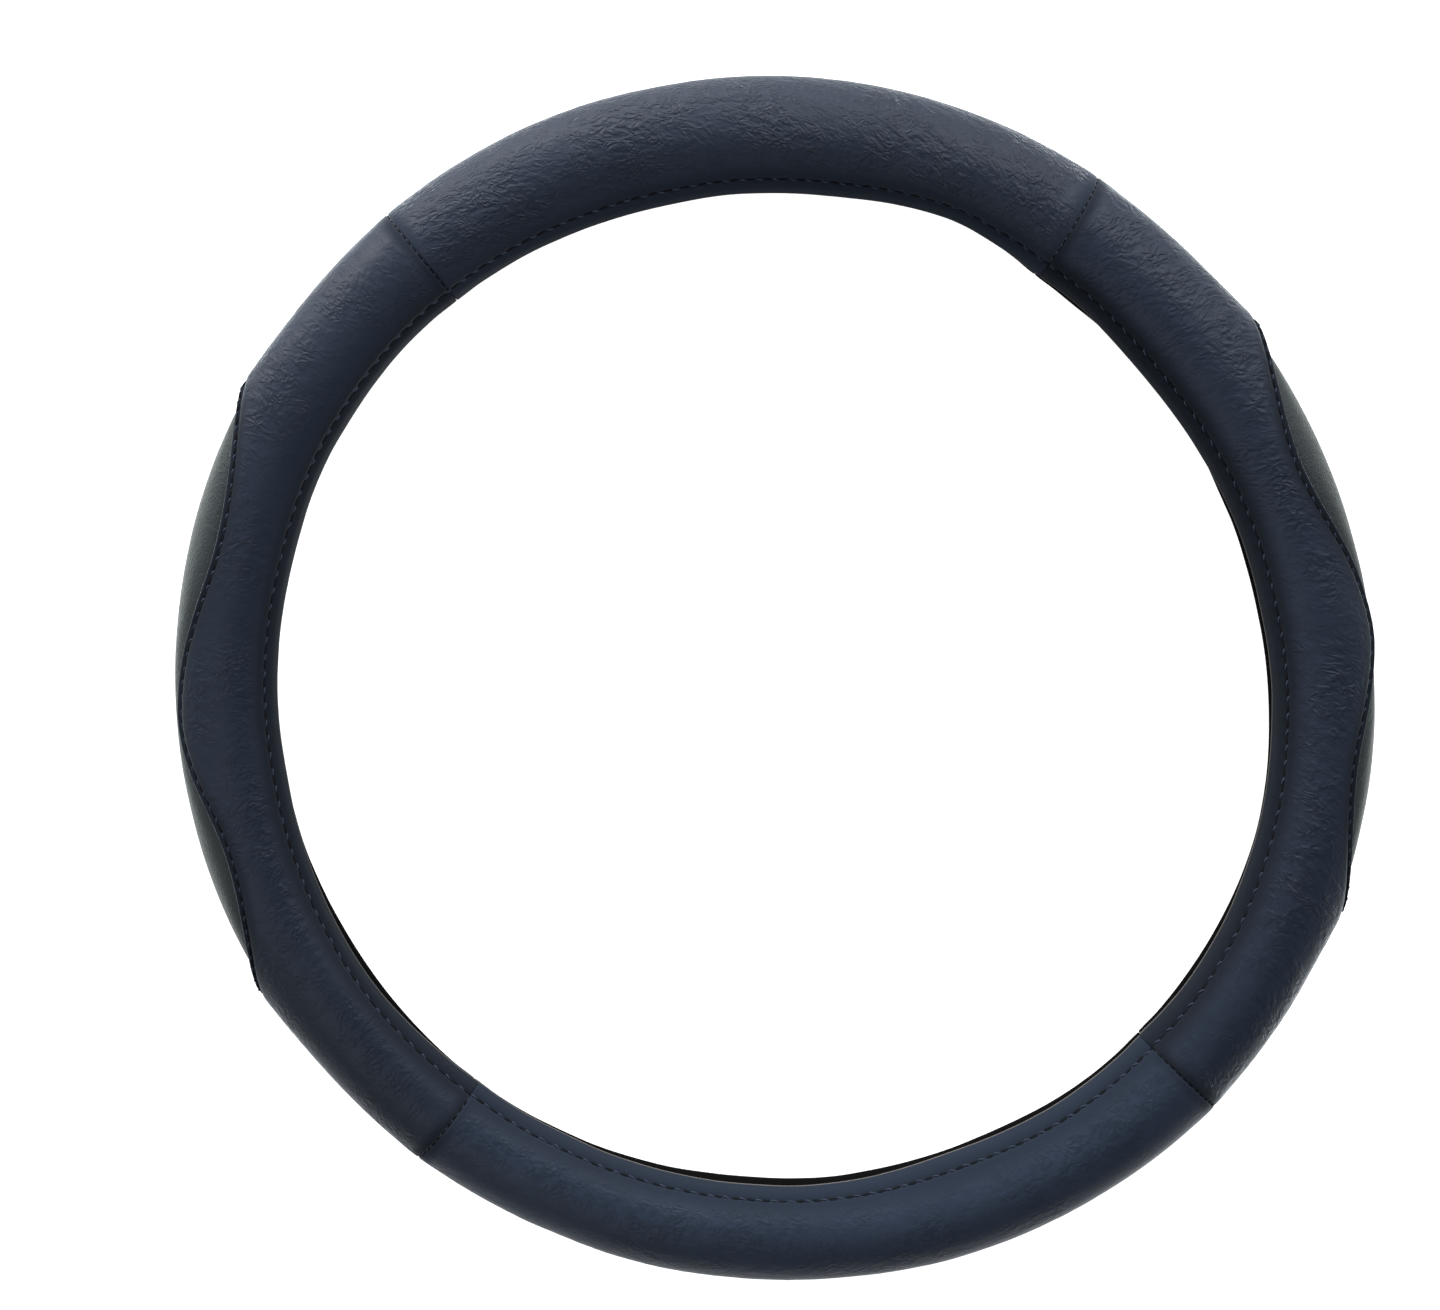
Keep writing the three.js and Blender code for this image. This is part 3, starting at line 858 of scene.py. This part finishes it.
def panel_section(edge, outer, height):
    """The closed section of a panel: pieces of rows as u and v, each with its material's number."""
    level = 0 * edge
    skin_u, skin_v = section_point(outer, -height)
    middle = even_rows(edge, -edge, MIDDLE_ROWS + 2)
    inside = np.concatenate([
        even_rows(REAR_LIP + level, -edge, INNER_ROWS),
        middle[::-1][1:-1],
        even_rows(edge, FRONT_LIP + level, INNER_ROWS),
    ])

    def nose(lip, lip_height):
        return nose_rows(lip, 0, HEM_INNER_DEPTH, NOSE_ROWS, lip_height, LIP_SQUARENESS)

    def inner_nose(lip):
        return nose_rows(lip, LEATHER, TURN_IN_DEPTH, INNER_NOSE_ROWS, np.zeros((1, edge.size)))

    def turned_hem(start, end, depth):
        return section_point(even_rows(start + level, end + level, TURN_ROWS), depth)

    def backwards(rows):
        return [values[::-1] for values in rows]

    return [
        ((skin_u, np.maximum(skin_v, -FLOOR_TO_MIDDLE)), LEATHER_FACES),
        (nose(REAR_LIP, height[-1:]), BINDING_FACES),
        (turned_hem(REAR_LIP, REAR_LIP + TURN_IN, HEM_INNER_DEPTH), BINDING_FACES),
        (turned_hem(REAR_LIP + TURN_IN, REAR_LIP, TURN_IN_DEPTH), BINDING_FACES),
        (backwards(inner_nose(REAR_LIP)), BINDING_FACES),
        (section_point(inside, LEATHER), LEATHER_FACES),
        (inner_nose(FRONT_LIP), BINDING_FACES),
        (turned_hem(FRONT_LIP, FRONT_LIP - TURN_IN, TURN_IN_DEPTH), BINDING_FACES),
        (turned_hem(FRONT_LIP - TURN_IN, FRONT_LIP, HEM_INNER_DEPTH), BINDING_FACES),
        (backwards(nose(FRONT_LIP, height[:1])), BINDING_FACES),
    ]


# %% The hole of a window
def rim_quads(first_line, second_line):
    """Faces that join two lines of points with the same number of points."""
    return np.stack([first_line[:-1], first_line[1:], second_line[1:], second_line[:-1]], axis=-1)


def cut_window(index, keep, outside, inside, columns):
    """Leaves out the faces inside a window, and returns the faces of the wall round its edge.

    Outside and inside give the first and last row of the hole in the two faces of the leather.
    """
    first, last = columns
    for top, bottom in (outside, inside):
        keep[top:bottom, first:last] = False
    outer_rows = index[outside[0]:outside[1] + 1, first:last + 1]
    inner_rows = index[inside[0]:inside[1] + 1, first:last + 1][::-1]
    return np.concatenate([
        rim_quads(outer_rows[0], inner_rows[0]),
        rim_quads(inner_rows[-1], outer_rows[-1]),
        rim_quads(inner_rows[:, 0], outer_rows[:, 0]),
        rim_quads(outer_rows[:, -1], inner_rows[:, -1]),
    ])


# %% One panel of leather
def leather_panel(place, from_seam, to_seam):
    """The panel at a place, between two seams, with a window where the place has a grip."""
    side = place if place in GRIP_HEIGHTS else None
    seam_half = math.degrees(SEAM_GAP / 2 / RING_RADIUS)
    ends = [WINDOW_START, WINDOW_END] if side else []
    stops = sorted(180 - angle for angle in ends) if side == "left" else ends
    ring = panel_columns(from_seam + seam_half, to_seam - seam_half, stops)
    edge = window_edge_rows(side, ring)

    front = skin_rows(edge, FRONT_LIP, FRONT_PLAIN_ROWS)[::-1]
    middle = even_rows(edge, -edge, MIDDLE_ROWS + 2)
    rear = skin_rows(edge, REAR_LIP, REAR_PLAIN_ROWS)
    outer = np.concatenate([front, middle[1:-1], rear])
    height = leather_height(np.broadcast_to(ring, outer.shape), outer, side)
    pieces, numbers = zip(*panel_section(edge, outer, height))
    lengths = [len(piece[0]) for piece in pieces]
    u = np.concatenate([piece[0] for piece in pieces])
    v = np.concatenate([piece[1] for piece in pieces])
    every_ring = np.broadcast_to(ring, u.shape)
    index = np.arange(u.size).reshape(u.shape)

    keep = np.ones((len(u), len(ring) - 1), dtype=bool)
    walls = []
    if side:
        outside = (len(front) - 1, len(front) + MIDDLE_ROWS)
        inner_last = sum(lengths[:5]) + INNER_ROWS - 1
        inside = (inner_last, inner_last + MIDDLE_ROWS + 1)
        columns = [int(np.argmin(np.abs(ring - stop))) for stop in stops]
        walls.append(cut_window(index, keep, outside, inside, columns))
    quads = np.concatenate([grid_quads(index, closed_rows=True)[keep]] + walls)
    caps = [index[::-1, 0], index[:, -1]]

    rows = np.repeat(numbers, lengths)
    rows[-LEATHER_NOSE_ROWS:] = LEATHER_FACES
    rows[-LEATHER_NOSE_ROWS - EDGE_NOSE_ROWS:-LEATHER_NOSE_ROWS] = EDGE_FACES
    kept_rows = np.broadcast_to(rows[:, None], keep.shape)[keep]

    points = on_ring(every_ring, u, v).reshape(-1, 3)
    made = make_object(f"{place}_leather", points, quads, LEATHERS[place], caps)
    made.data.materials.append(RAW_EDGE)
    made.data.materials.append(BLACK_BINDING)
    materials = np.full(len(made.data.polygons), LEATHER_FACES, dtype=np.int32)
    materials[:len(kept_rows)] = kept_rows
    made.data.polygons.foreach_set("material_index", materials)
    across = np.degrees(np.arctan2(v / HALF_HEIGHT, u / HALF_WIDTH))
    add_skin_map(made, every_ring.ravel(), across.ravel())
    amount = creasing(every_ring, across, side)
    layer = made.data.attributes.new("creasing", "FLOAT", "POINT")
    layer.data.foreach_set("value", amount.astype(np.float32).ravel())
    return made


# %% Make the four panels
PANELS = {
    "right": ("right_panel", -90 + BOTTOM_SEAM, 90 - TOP_SEAM),
    "top": ("top_panel", 90 - TOP_SEAM, 90 + TOP_SEAM),
    "left": ("left_panel", 90 + TOP_SEAM, 270 - BOTTOM_SEAM),
    "bottom": ("bottom_panel", 270 - BOTTOM_SEAM, 270 + BOTTOM_SEAM),
}
for place, (node, from_seam, to_seam) in PANELS.items():
    panel = leather_panel(place, from_seam, to_seam)
    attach(panel, "root")
    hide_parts(node)

# %% [markdown]
# ## The padded grips
#
# Each grip is a thin foam pad under grey leather, which fills the window and bulges a little in the
# middle. A cloth simulation would swell it the same way, but the pad is glued down all over and only
# its crown shows, so a crowned block with pressed edges is enough and is the same on every run.

# %% Make the two grips
GRIP_COLUMNS = 200
GRIP_ROWS = 46
GRIP_BOTTOM_DEPTH = 1.88 * MM
GRIP_EDGE_DEPTH = 1.7 * MM
GRIP_CROWN = 1.3 * MM
GRIP_CROWN_REACH = 6 * MM
GRIP_SHOULDER, GRIP_EDGE_EASE = 2.2, 1.1
GRIP_ROLL = 0.10 * MM


def grip_pad(side):
    """A crowned pad with the wavy outline of one window."""
    inset = STITCH_TO_WINDOW + INSERT_CLEARANCE
    angle = wave_angles(inset, GRIP_COLUMNS)
    share = np.sin(np.linspace(-math.pi / 2, math.pi / 2, GRIP_ROWS))[:, None]
    section = share * wave_height(side, angle, inset)
    ring = np.broadcast_to(180 - angle if side == "left" else angle, section.shape)
    inwards = np.maximum(-window_distance(side, ring, section) - INSERT_CLEARANCE, 0)
    near_edge = 1 - np.clip(inwards / GRIP_CROWN_REACH, 0, 1)
    along = np.radians(ring) * OUTER_RADIUS
    across = np.radians(section) * HALF_WIDTH
    uneven = GRIP_ROLL * hills(along, across, 16 * MM, 12 * MM, 41)
    crown = (1 - near_edge**GRIP_SHOULDER) ** GRIP_EDGE_EASE
    height = -GRIP_EDGE_DEPTH + (GRIP_CROWN + uneven) * crown + outer_swell(ring, section)
    top_u, top_v = section_point(section, -height)
    bottom_u, bottom_v = section_point(section, GRIP_BOTTOM_DEPTH)
    top = on_ring(ring, top_u, top_v)
    bottom = on_ring(ring, bottom_u, bottom_v)
    count = section.size
    index = np.arange(count).reshape(section.shape)
    quads = grid_quads(index).reshape(-1, 4)
    rim = np.concatenate([index[0], index[1:, -1], index[-1, ::-1][1:], index[::-1, 0][1:]])
    walls = rim_quads(rim, rim + count)[:, ::-1]
    every = np.concatenate([quads, quads[:, ::-1] + count, walls])
    if side == "left":
        every = every[:, ::-1]
    points = np.concatenate([top.reshape(-1, 3), bottom.reshape(-1, 3)])
    made = make_object(f"{side}_grip_pad", points, every, GRIP_LEATHER)
    add_skin_map(made, np.tile(ring.ravel(), 2), np.tile(section.ravel(), 2))
    return made


for side in GRIP_HEIGHTS:
    pad = grip_pad(side)
    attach(pad, "root")
    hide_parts(f"{side}_grip_insert")

# %% [markdown]
# ## The rubber liner
#
# Behind the lips and inside the channel is black rubber with low ribs, which keep the cover from
# turning on the wheel. It is the same closed section as the solid, carried round the ring in finer
# steps and with more and rounder ribs.

# %% Make the liner
LINER_COLUMNS = 240
LINER_RIBS = 22
LINER_RIB_HEIGHT = 0.45 * MM
LINER_OUTSIDE_ROWS = 44
ROWS_PER_RIB = 4
LINER_NOSE_ROWS = 4


def rubber_liner():
    """The liner: smooth outside, ribbed inside, with rounded lips inside the turned hems."""
    ring = np.arange(LINER_COLUMNS + 1) / LINER_COLUMNS * 360
    edge = 0 * ring
    outside = even_rows(FRONT_LIP + edge, REAR_LIP + edge, LINER_OUTSIDE_ROWS)
    inside = even_rows(REAR_LIP + edge, FRONT_LIP + edge, ROWS_PER_RIB * LINER_RIBS)
    share = np.linspace(0, 1, ROWS_PER_RIB * LINER_RIBS)[:, None]
    clear_of_hems = ease(share * 12 - 1.2) * ease((1 - share) * 12 - 1.2)
    ribs = LINER_RIB_HEIGHT * (0.5 - 0.5 * np.cos(2 * math.pi * LINER_RIBS * share)) * clear_of_hems
    flat = np.zeros((1, len(ring)))
    rear, front = [
        nose_rows(lip, RUBBER_DEPTH, RUBBER_INNER_DEPTH, LINER_NOSE_ROWS, flat)
        for lip in (REAR_LIP, FRONT_LIP)
    ]
    pieces = [
        section_point(outside, RUBBER_DEPTH),
        rear,
        section_point(inside, RUBBER_INNER_DEPTH + ribs),
        [rows[::-1] for rows in front],
    ]
    u = np.concatenate([piece[0] for piece in pieces])
    v = np.concatenate([piece[1] for piece in pieces])
    points = on_ring(np.broadcast_to(ring, u.shape), u, v)[:, :-1]
    index = np.arange(points.shape[0] * points.shape[1]).reshape(points.shape[:2])
    wrapped = np.concatenate([index, index[:, :1]], axis=1)
    quads = grid_quads(wrapped, closed_rows=True).reshape(-1, 4)
    return make_object("rubber_liner", points.reshape(-1, 3), quads, BLACK_RUBBER)


liner = rubber_liner()
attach(liner, "root")
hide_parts("rubber_ring")

# %% [markdown]
# ## The stitches
#
# Thread makes or breaks sewn leather. A painted dashed line has no shadow, so each stitch here is a
# short arched piece of thread: it comes up out of one needle hole, lies in the valley and dives
# into the next. The holes are about as long as the stitches, because the pull of the thread draws
# them out into slots. Each hole is a low near-black cap on the leather, which is painted shade for
# the hollow. One stitch and one hole are each modelled once as rings of points, and copies
# are laid along a path on the leather. Each is turned to the path, a stitch also slants across it
# as an awl leaves it, and no two are quite alike. A curve with a bevel would need fewer lines of
# script, but its thread has the same thickness in the holes as on top.

# %% One stitch and one needle hole
STITCH_RINGS = 8
STITCH_SIDES = 8
THREAD_TAPER = 0.35
THREAD_WIDTH, THREAD_HEIGHT = 1.1, 0.95
# The share of the hole's size and the height over the leather, from its foot to its middle
HOLE_RINGS = ((1.0, -0.25 * MM), (0.92, 0.18 * MM), (0.5, 0.23 * MM), (0.12, 0.23 * MM))


def stitch_shape(length, thickness, arch, dive):
    """Rings of points of one stitch along x, with its middle up by the arch and its ends down."""
    share = np.linspace(-1, 1, STITCH_RINGS)
    lift = arch * (1 - share**2) - dive * np.abs(share) ** 5
    girth = thickness / 2 * (1 - THREAD_TAPER * np.abs(share) ** 3)
    turn = np.arange(STITCH_SIDES) / STITCH_SIDES * 2 * math.pi
    x = share[:, None] * length / 2 + 0 * turn
    y = girth[:, None] * np.cos(turn) * THREAD_WIDTH
    z = lift[:, None] + girth[:, None] * np.sin(turn) * THREAD_HEIGHT
    return np.stack([x, y, z], axis=-1)


def hole_shade_shape(length, width):
    """Rings of points of a low near-black cap over the leather where the needle went in: painted shade of
    the hole.
    """
    turn = np.arange(STITCH_SIDES) / STITCH_SIDES * 2 * math.pi
    rings = []
    for share, height in HOLE_RINGS:
        x = length / 2 * share * np.cos(turn)
        y = width / 2 * share * np.sin(turn)
        rings.append(np.stack([x, -y, 0 * turn + height], axis=-1))
    return np.array(rings)


def tube_quads(rings, sides):
    """Faces of a tube of rings with closed ends."""
    index = np.arange(rings * sides).reshape(rings, sides)
    turned = np.roll(index, -1, axis=1)
    body = np.stack([index[:-1], turned[:-1], turned[1:], index[1:]], axis=-1).reshape(-1, 4)
    ends = []
    for step in range(sides // 2 - 1):
        corners = [step, step + 1, sides - 2 - step, sides - 1 - step]
        ends.append(index[0][corners][::-1])
        ends.append(index[-1][corners])
    return np.concatenate([body, np.array(ends)])


# %% A line of stitches
STEPS_PER_STITCH = 12
STEPS_TO_AIM = 3
TILT_SPREAD = 0.08
DRIFT_SHARE = 0.04
LIFT_SPREAD = 0.04 * MM
RISE_FADE = 3 * MM


def leather_path(ring, section, side):
    """Points on the leather along a path, and the directions that point out of it."""
    height = leather_height(ring, section, side)
    u, v = section_point(section, -height)
    angle, tube = np.radians(ring), np.radians(section)
    out = [np.cos(tube) * np.cos(angle), np.cos(tube) * np.sin(angle), np.sin(tube)]
    return on_ring(ring, u, v), np.stack(out, axis=-1)


def unit(vectors):
    """The same directions with a length of 1."""
    return vectors / np.linalg.norm(vectors, axis=-1, keepdims=True)


def stitch_axes(points, out, here, tilt):
    """Three axes at some places of a path: along it and turned by the tilt, beside it, and out."""
    ahead = np.minimum(here + STEPS_TO_AIM, len(points) - 1)
    behind = np.maximum(here - STEPS_TO_AIM, 0)
    along = unit(points[ahead] - points[behind])
    beside = unit(np.cross(out[here], along))
    turned = along * np.cos(tilt) + beside * np.sin(tilt)
    beside = beside * np.cos(tilt) - along * np.sin(tilt)
    return np.stack([turned, beside, np.cross(turned, beside)], axis=1)


def lay_stitches(name, ring, section, side, sizes, seed):
    """Lays stitches and their needle holes along a path of ring and section angles.

    The sizes give the share of the pitch that the thread covers, its thickness, arch and dive, the
    width of a hole and how far it runs under the thread, the slant in radians, and the rise over
    the leather, which fades out where the path comes down to the floor.
    """
    points, out = leather_path(ring, section, side)
    count = (len(ring) - 1) // STEPS_PER_STITCH
    length = np.linalg.norm(np.diff(points, axis=0), axis=1).sum() / count
    rng = np.random.default_rng(seed)
    stitch = stitch_shape(length * sizes["cover"], sizes["thread"], sizes["arch"], sizes["dive"])
    hole = hole_shade_shape(length * (1 - sizes["cover"]) + sizes["under"], sizes["hole"])
    all_points, all_quads, all_slots, total = [], [], [], 0
    kinds = ((stitch, STEPS_PER_STITCH // 2, sizes["slant"]), (hole, 0, 0))
    for slot, (shape, offset, slant) in enumerate(kinds):
        here = np.arange(count) * STEPS_PER_STITCH + offset
        tilt = rng.normal(slant, TILT_SPREAD, count)[:, None]
        axes = stitch_axes(points, out, here, tilt)
        drift = axes[:, 0] * rng.normal(0, DRIFT_SHARE * length, count)[:, None]
        rise = sizes["rise"] * ease(points[here][:, 2] / RISE_FADE)
        lift = axes[:, 2] * (rng.normal(0, LIFT_SPREAD, count) + rise)[:, None]
        placed = (points[here] + drift + lift)[:, None] + shape.reshape(1, -1, 3) @ axes
        quads = tube_quads(*shape.shape[:2])
        every = quads[None] + (np.arange(count) * placed.shape[1])[:, None, None] + total
        all_points.append(placed.reshape(-1, 3))
        all_quads.append(every.reshape(-1, 4))
        all_slots.append(np.full(every.shape[0] * every.shape[1], slot))
        total += placed.shape[0] * placed.shape[1]
    made = make_object(name, np.concatenate(all_points), np.concatenate(all_quads), WAXED_THREAD)
    made.data.materials.append(NEEDLE_HOLE_SHADE)
    made.data.polygons.foreach_set("material_index", np.concatenate(all_slots))
    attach(made, "root")
    print(f"{name}: {count} stitches of {length / MM:.2f} mm")


def even_path(ring, section, side, pitch):
    """The same path in equal steps, with a whole number of stitches."""
    points = leather_path(ring, section, side)[0]
    travel = np.concatenate([[0], np.cumsum(np.linalg.norm(np.diff(points, axis=0), axis=1))])
    count = round(travel[-1] / pitch)
    places = np.linspace(0, travel[-1], count * STEPS_PER_STITCH + 1)
    return np.interp(places, travel, ring), np.interp(places, travel, section)


# %% Sew the hems
HEM_STITCH = {
    "cover": 0.50, "thread": 0.50 * MM, "arch": 0.27 * MM, "dive": 0.40 * MM,
    "hole": 1.15 * MM, "under": 0.6 * MM, "slant": -0.3, "rise": 0,
}
round_the_ring = np.linspace(SEAM_ANGLES[0], SEAM_ANGLES[-1], HEM_STITCHES * STEPS_PER_STITCH + 1)
for lip, section, seed in (("front", FRONT_STITCH, 61), ("rear", REAR_STITCH, 62)):
    level = np.full(round_the_ring.shape, float(section))
    lay_stitches(f"{lip}_hem_stitches", round_the_ring, level, None, HEM_STITCH, seed)

# %% Sew round the grips
WAVE_PITCH = 4.6 * MM
WAVE_PATH_POINTS = 900
WAVE_STITCH = {
    "cover": 0.46, "thread": 0.46 * MM, "arch": 0.20 * MM, "dive": 0.35 * MM,
    "hole": 1.0 * MM, "under": 0.6 * MM, "slant": -0.3, "rise": 0,
}
for side in GRIP_HEIGHTS:
    ring, section = even_path(*wave_outline(side, 0, WAVE_PATH_POINTS), side, WAVE_PITCH)
    lay_stitches(f"{side}_grip_stitches", ring, section, side, WAVE_STITCH, 63)

# %% Sew the seams between the panels
SEAM_PITCH = 2.7 * MM
SEAM_PATH_POINTS = 300
SEAM_TO_HEM = 3
SEAM_STITCH = {
    "cover": 0.50, "thread": 0.40 * MM, "arch": 0.10 * MM, "dive": 0.30 * MM,
    "hole": 0.75 * MM, "under": 0.6 * MM, "slant": 0, "rise": 0.75 * MM,
}
for number, seam in enumerate(SEAM_ANGLES[1:]):
    section = np.linspace(REAR_STITCH + SEAM_TO_HEM, FRONT_STITCH - SEAM_TO_HEM, SEAM_PATH_POINTS)
    ring, section = even_path(np.full(section.shape, float(seam)), section, None, SEAM_PITCH)
    lay_stitches(f"seam_{number + 1}_stitches", ring, section, None, SEAM_STITCH, 70 + number)

# %% [markdown]
# ## Light, floor and camera
#
# The picture was taken from above in soft light, in front of plain white. The leather is brightest
# on its outside at the top left, so the main lamp is a wide low window beyond that edge of the
# frame. A second lamp above the upper right corner lights the front of the ring, and a weak one
# over the lower left keeps the near side from going black. The sky gives the rest. A picture of a
# studio round the scene would light it as well, but three lamps can be moved one at a time.
#
# The floor is white to the camera and in reflections, and keeps a faint shadow.

# %% Camera
RING_ROLL = math.radians(4)
CAMERA_TARGET = Vector((-19.3, 11.1, 16.35)) * MM
CAMERA_PLACE = Vector((-74.8, 129.5, 1216.35)) * MM
FOCAL_LENGTH = 94.5
CLIP_END = 20.0


def from_photo(point):
    """A point given with the photo's right and up as x and y, in the frame of the cover."""
    return Matrix.Rotation(-RING_ROLL, 3, "Z") @ Vector(point)


def aim(thing, place, target, up):
    """Turns a camera or lamp so that it looks from its place to a target, with its top towards up."""
    backwards = (place - target).normalized()
    right = up.cross(backwards).normalized()
    top = backwards.cross(right)
    thing.matrix_world = Matrix.Translation(place) @ Matrix((right, top, backwards)).transposed().to_4x4()


camera = bpy.data.objects.new("camera", bpy.data.cameras.new("camera"))
bpy.context.scene.collection.objects.link(camera)
camera.data.lens = FOCAL_LENGTH
camera.data.sensor_fit = "HORIZONTAL"
camera.data.clip_end = CLIP_END
aim(camera, from_photo(CAMERA_PLACE), from_photo(CAMERA_TARGET), from_photo((0, 1, 0)))
bpy.context.scene.camera = camera
print("camera looks down at", round(math.degrees(math.asin(CAMERA_PLACE.normalized().z)), 1), "degrees")


# %% Lamps and sky
def softbox(name, place, width, height, power):
    """A flat soft lamp that looks at the middle of the ring: sizes in metres, power in watts."""
    lamp = bpy.data.objects.new(name, bpy.data.lights.new(name, "AREA"))
    bpy.context.scene.collection.objects.link(lamp)
    lamp.data.shape = "RECTANGLE"
    lamp.data.size = width
    lamp.data.size_y = height
    lamp.data.energy = power
    aim(lamp, from_photo(place), Vector((0, 0, 0)), Vector((0, 0.01, 1)))
    return lamp


softbox("window_light", (-0.90, 1.66, 0.18), width=2.1, height=0.62, power=118)
softbox("corner_light", (0.8, 1.4, 1.0), width=1.4, height=1.0, power=54)
softbox("fill_light", (-0.9, -1.0, 1.6), width=1.6, height=1.2, power=22)

SKY_STRENGTH = 0.14
world = bpy.data.worlds.new("studio")
bpy.context.scene.world = world
world.use_nodes = True
sky = world.node_tree.nodes["Background"]
sky.inputs["Color"].default_value = (0.90, 0.95, 1.0, 1)
sky.inputs["Strength"].default_value = SKY_STRENGTH

# %% Floor
FLOOR_SIZE = 16.0
FLOOR_DROP = 0.3 * MM
FLOOR_GLOW = 0.88


def white_floor():
    """White paper: it takes the shadow of the cover, and glows a little for the camera."""
    finish = Finish("white_paper")
    camera_rays = finish.add("ShaderNodeLightPath", output="Is Camera Ray")
    gloss_rays = finish.add("ShaderNodeLightPath", output="Is Glossy Ray")
    glass_rays = finish.add("ShaderNodeLightPath", output="Is Transmission Ray")
    seen = camera_rays + gloss_rays + glass_rays
    paper = finish.add("ShaderNodeBsdfDiffuse", {}, {"Color": (0.62, 0.62, 0.62, 1)})
    glow = finish.add("ShaderNodeEmission", {}, {"Color": (1, 1, 1, 1), "Strength": FLOOR_GLOW * seen})
    return finish.finish_with(finish.add("ShaderNodeAddShader", {}, {0: paper, 1: glow}))


half = FLOOR_SIZE / 2
corners = [(-half, -half), (half, -half), (half, half), (-half, half)]
floor = make_object("floor", [(x, y, -FLOOR_DROP) for x, y in corners], [(0, 1, 2, 3)], white_floor())

bpy.context.scene.view_settings.view_transform = "Standard"
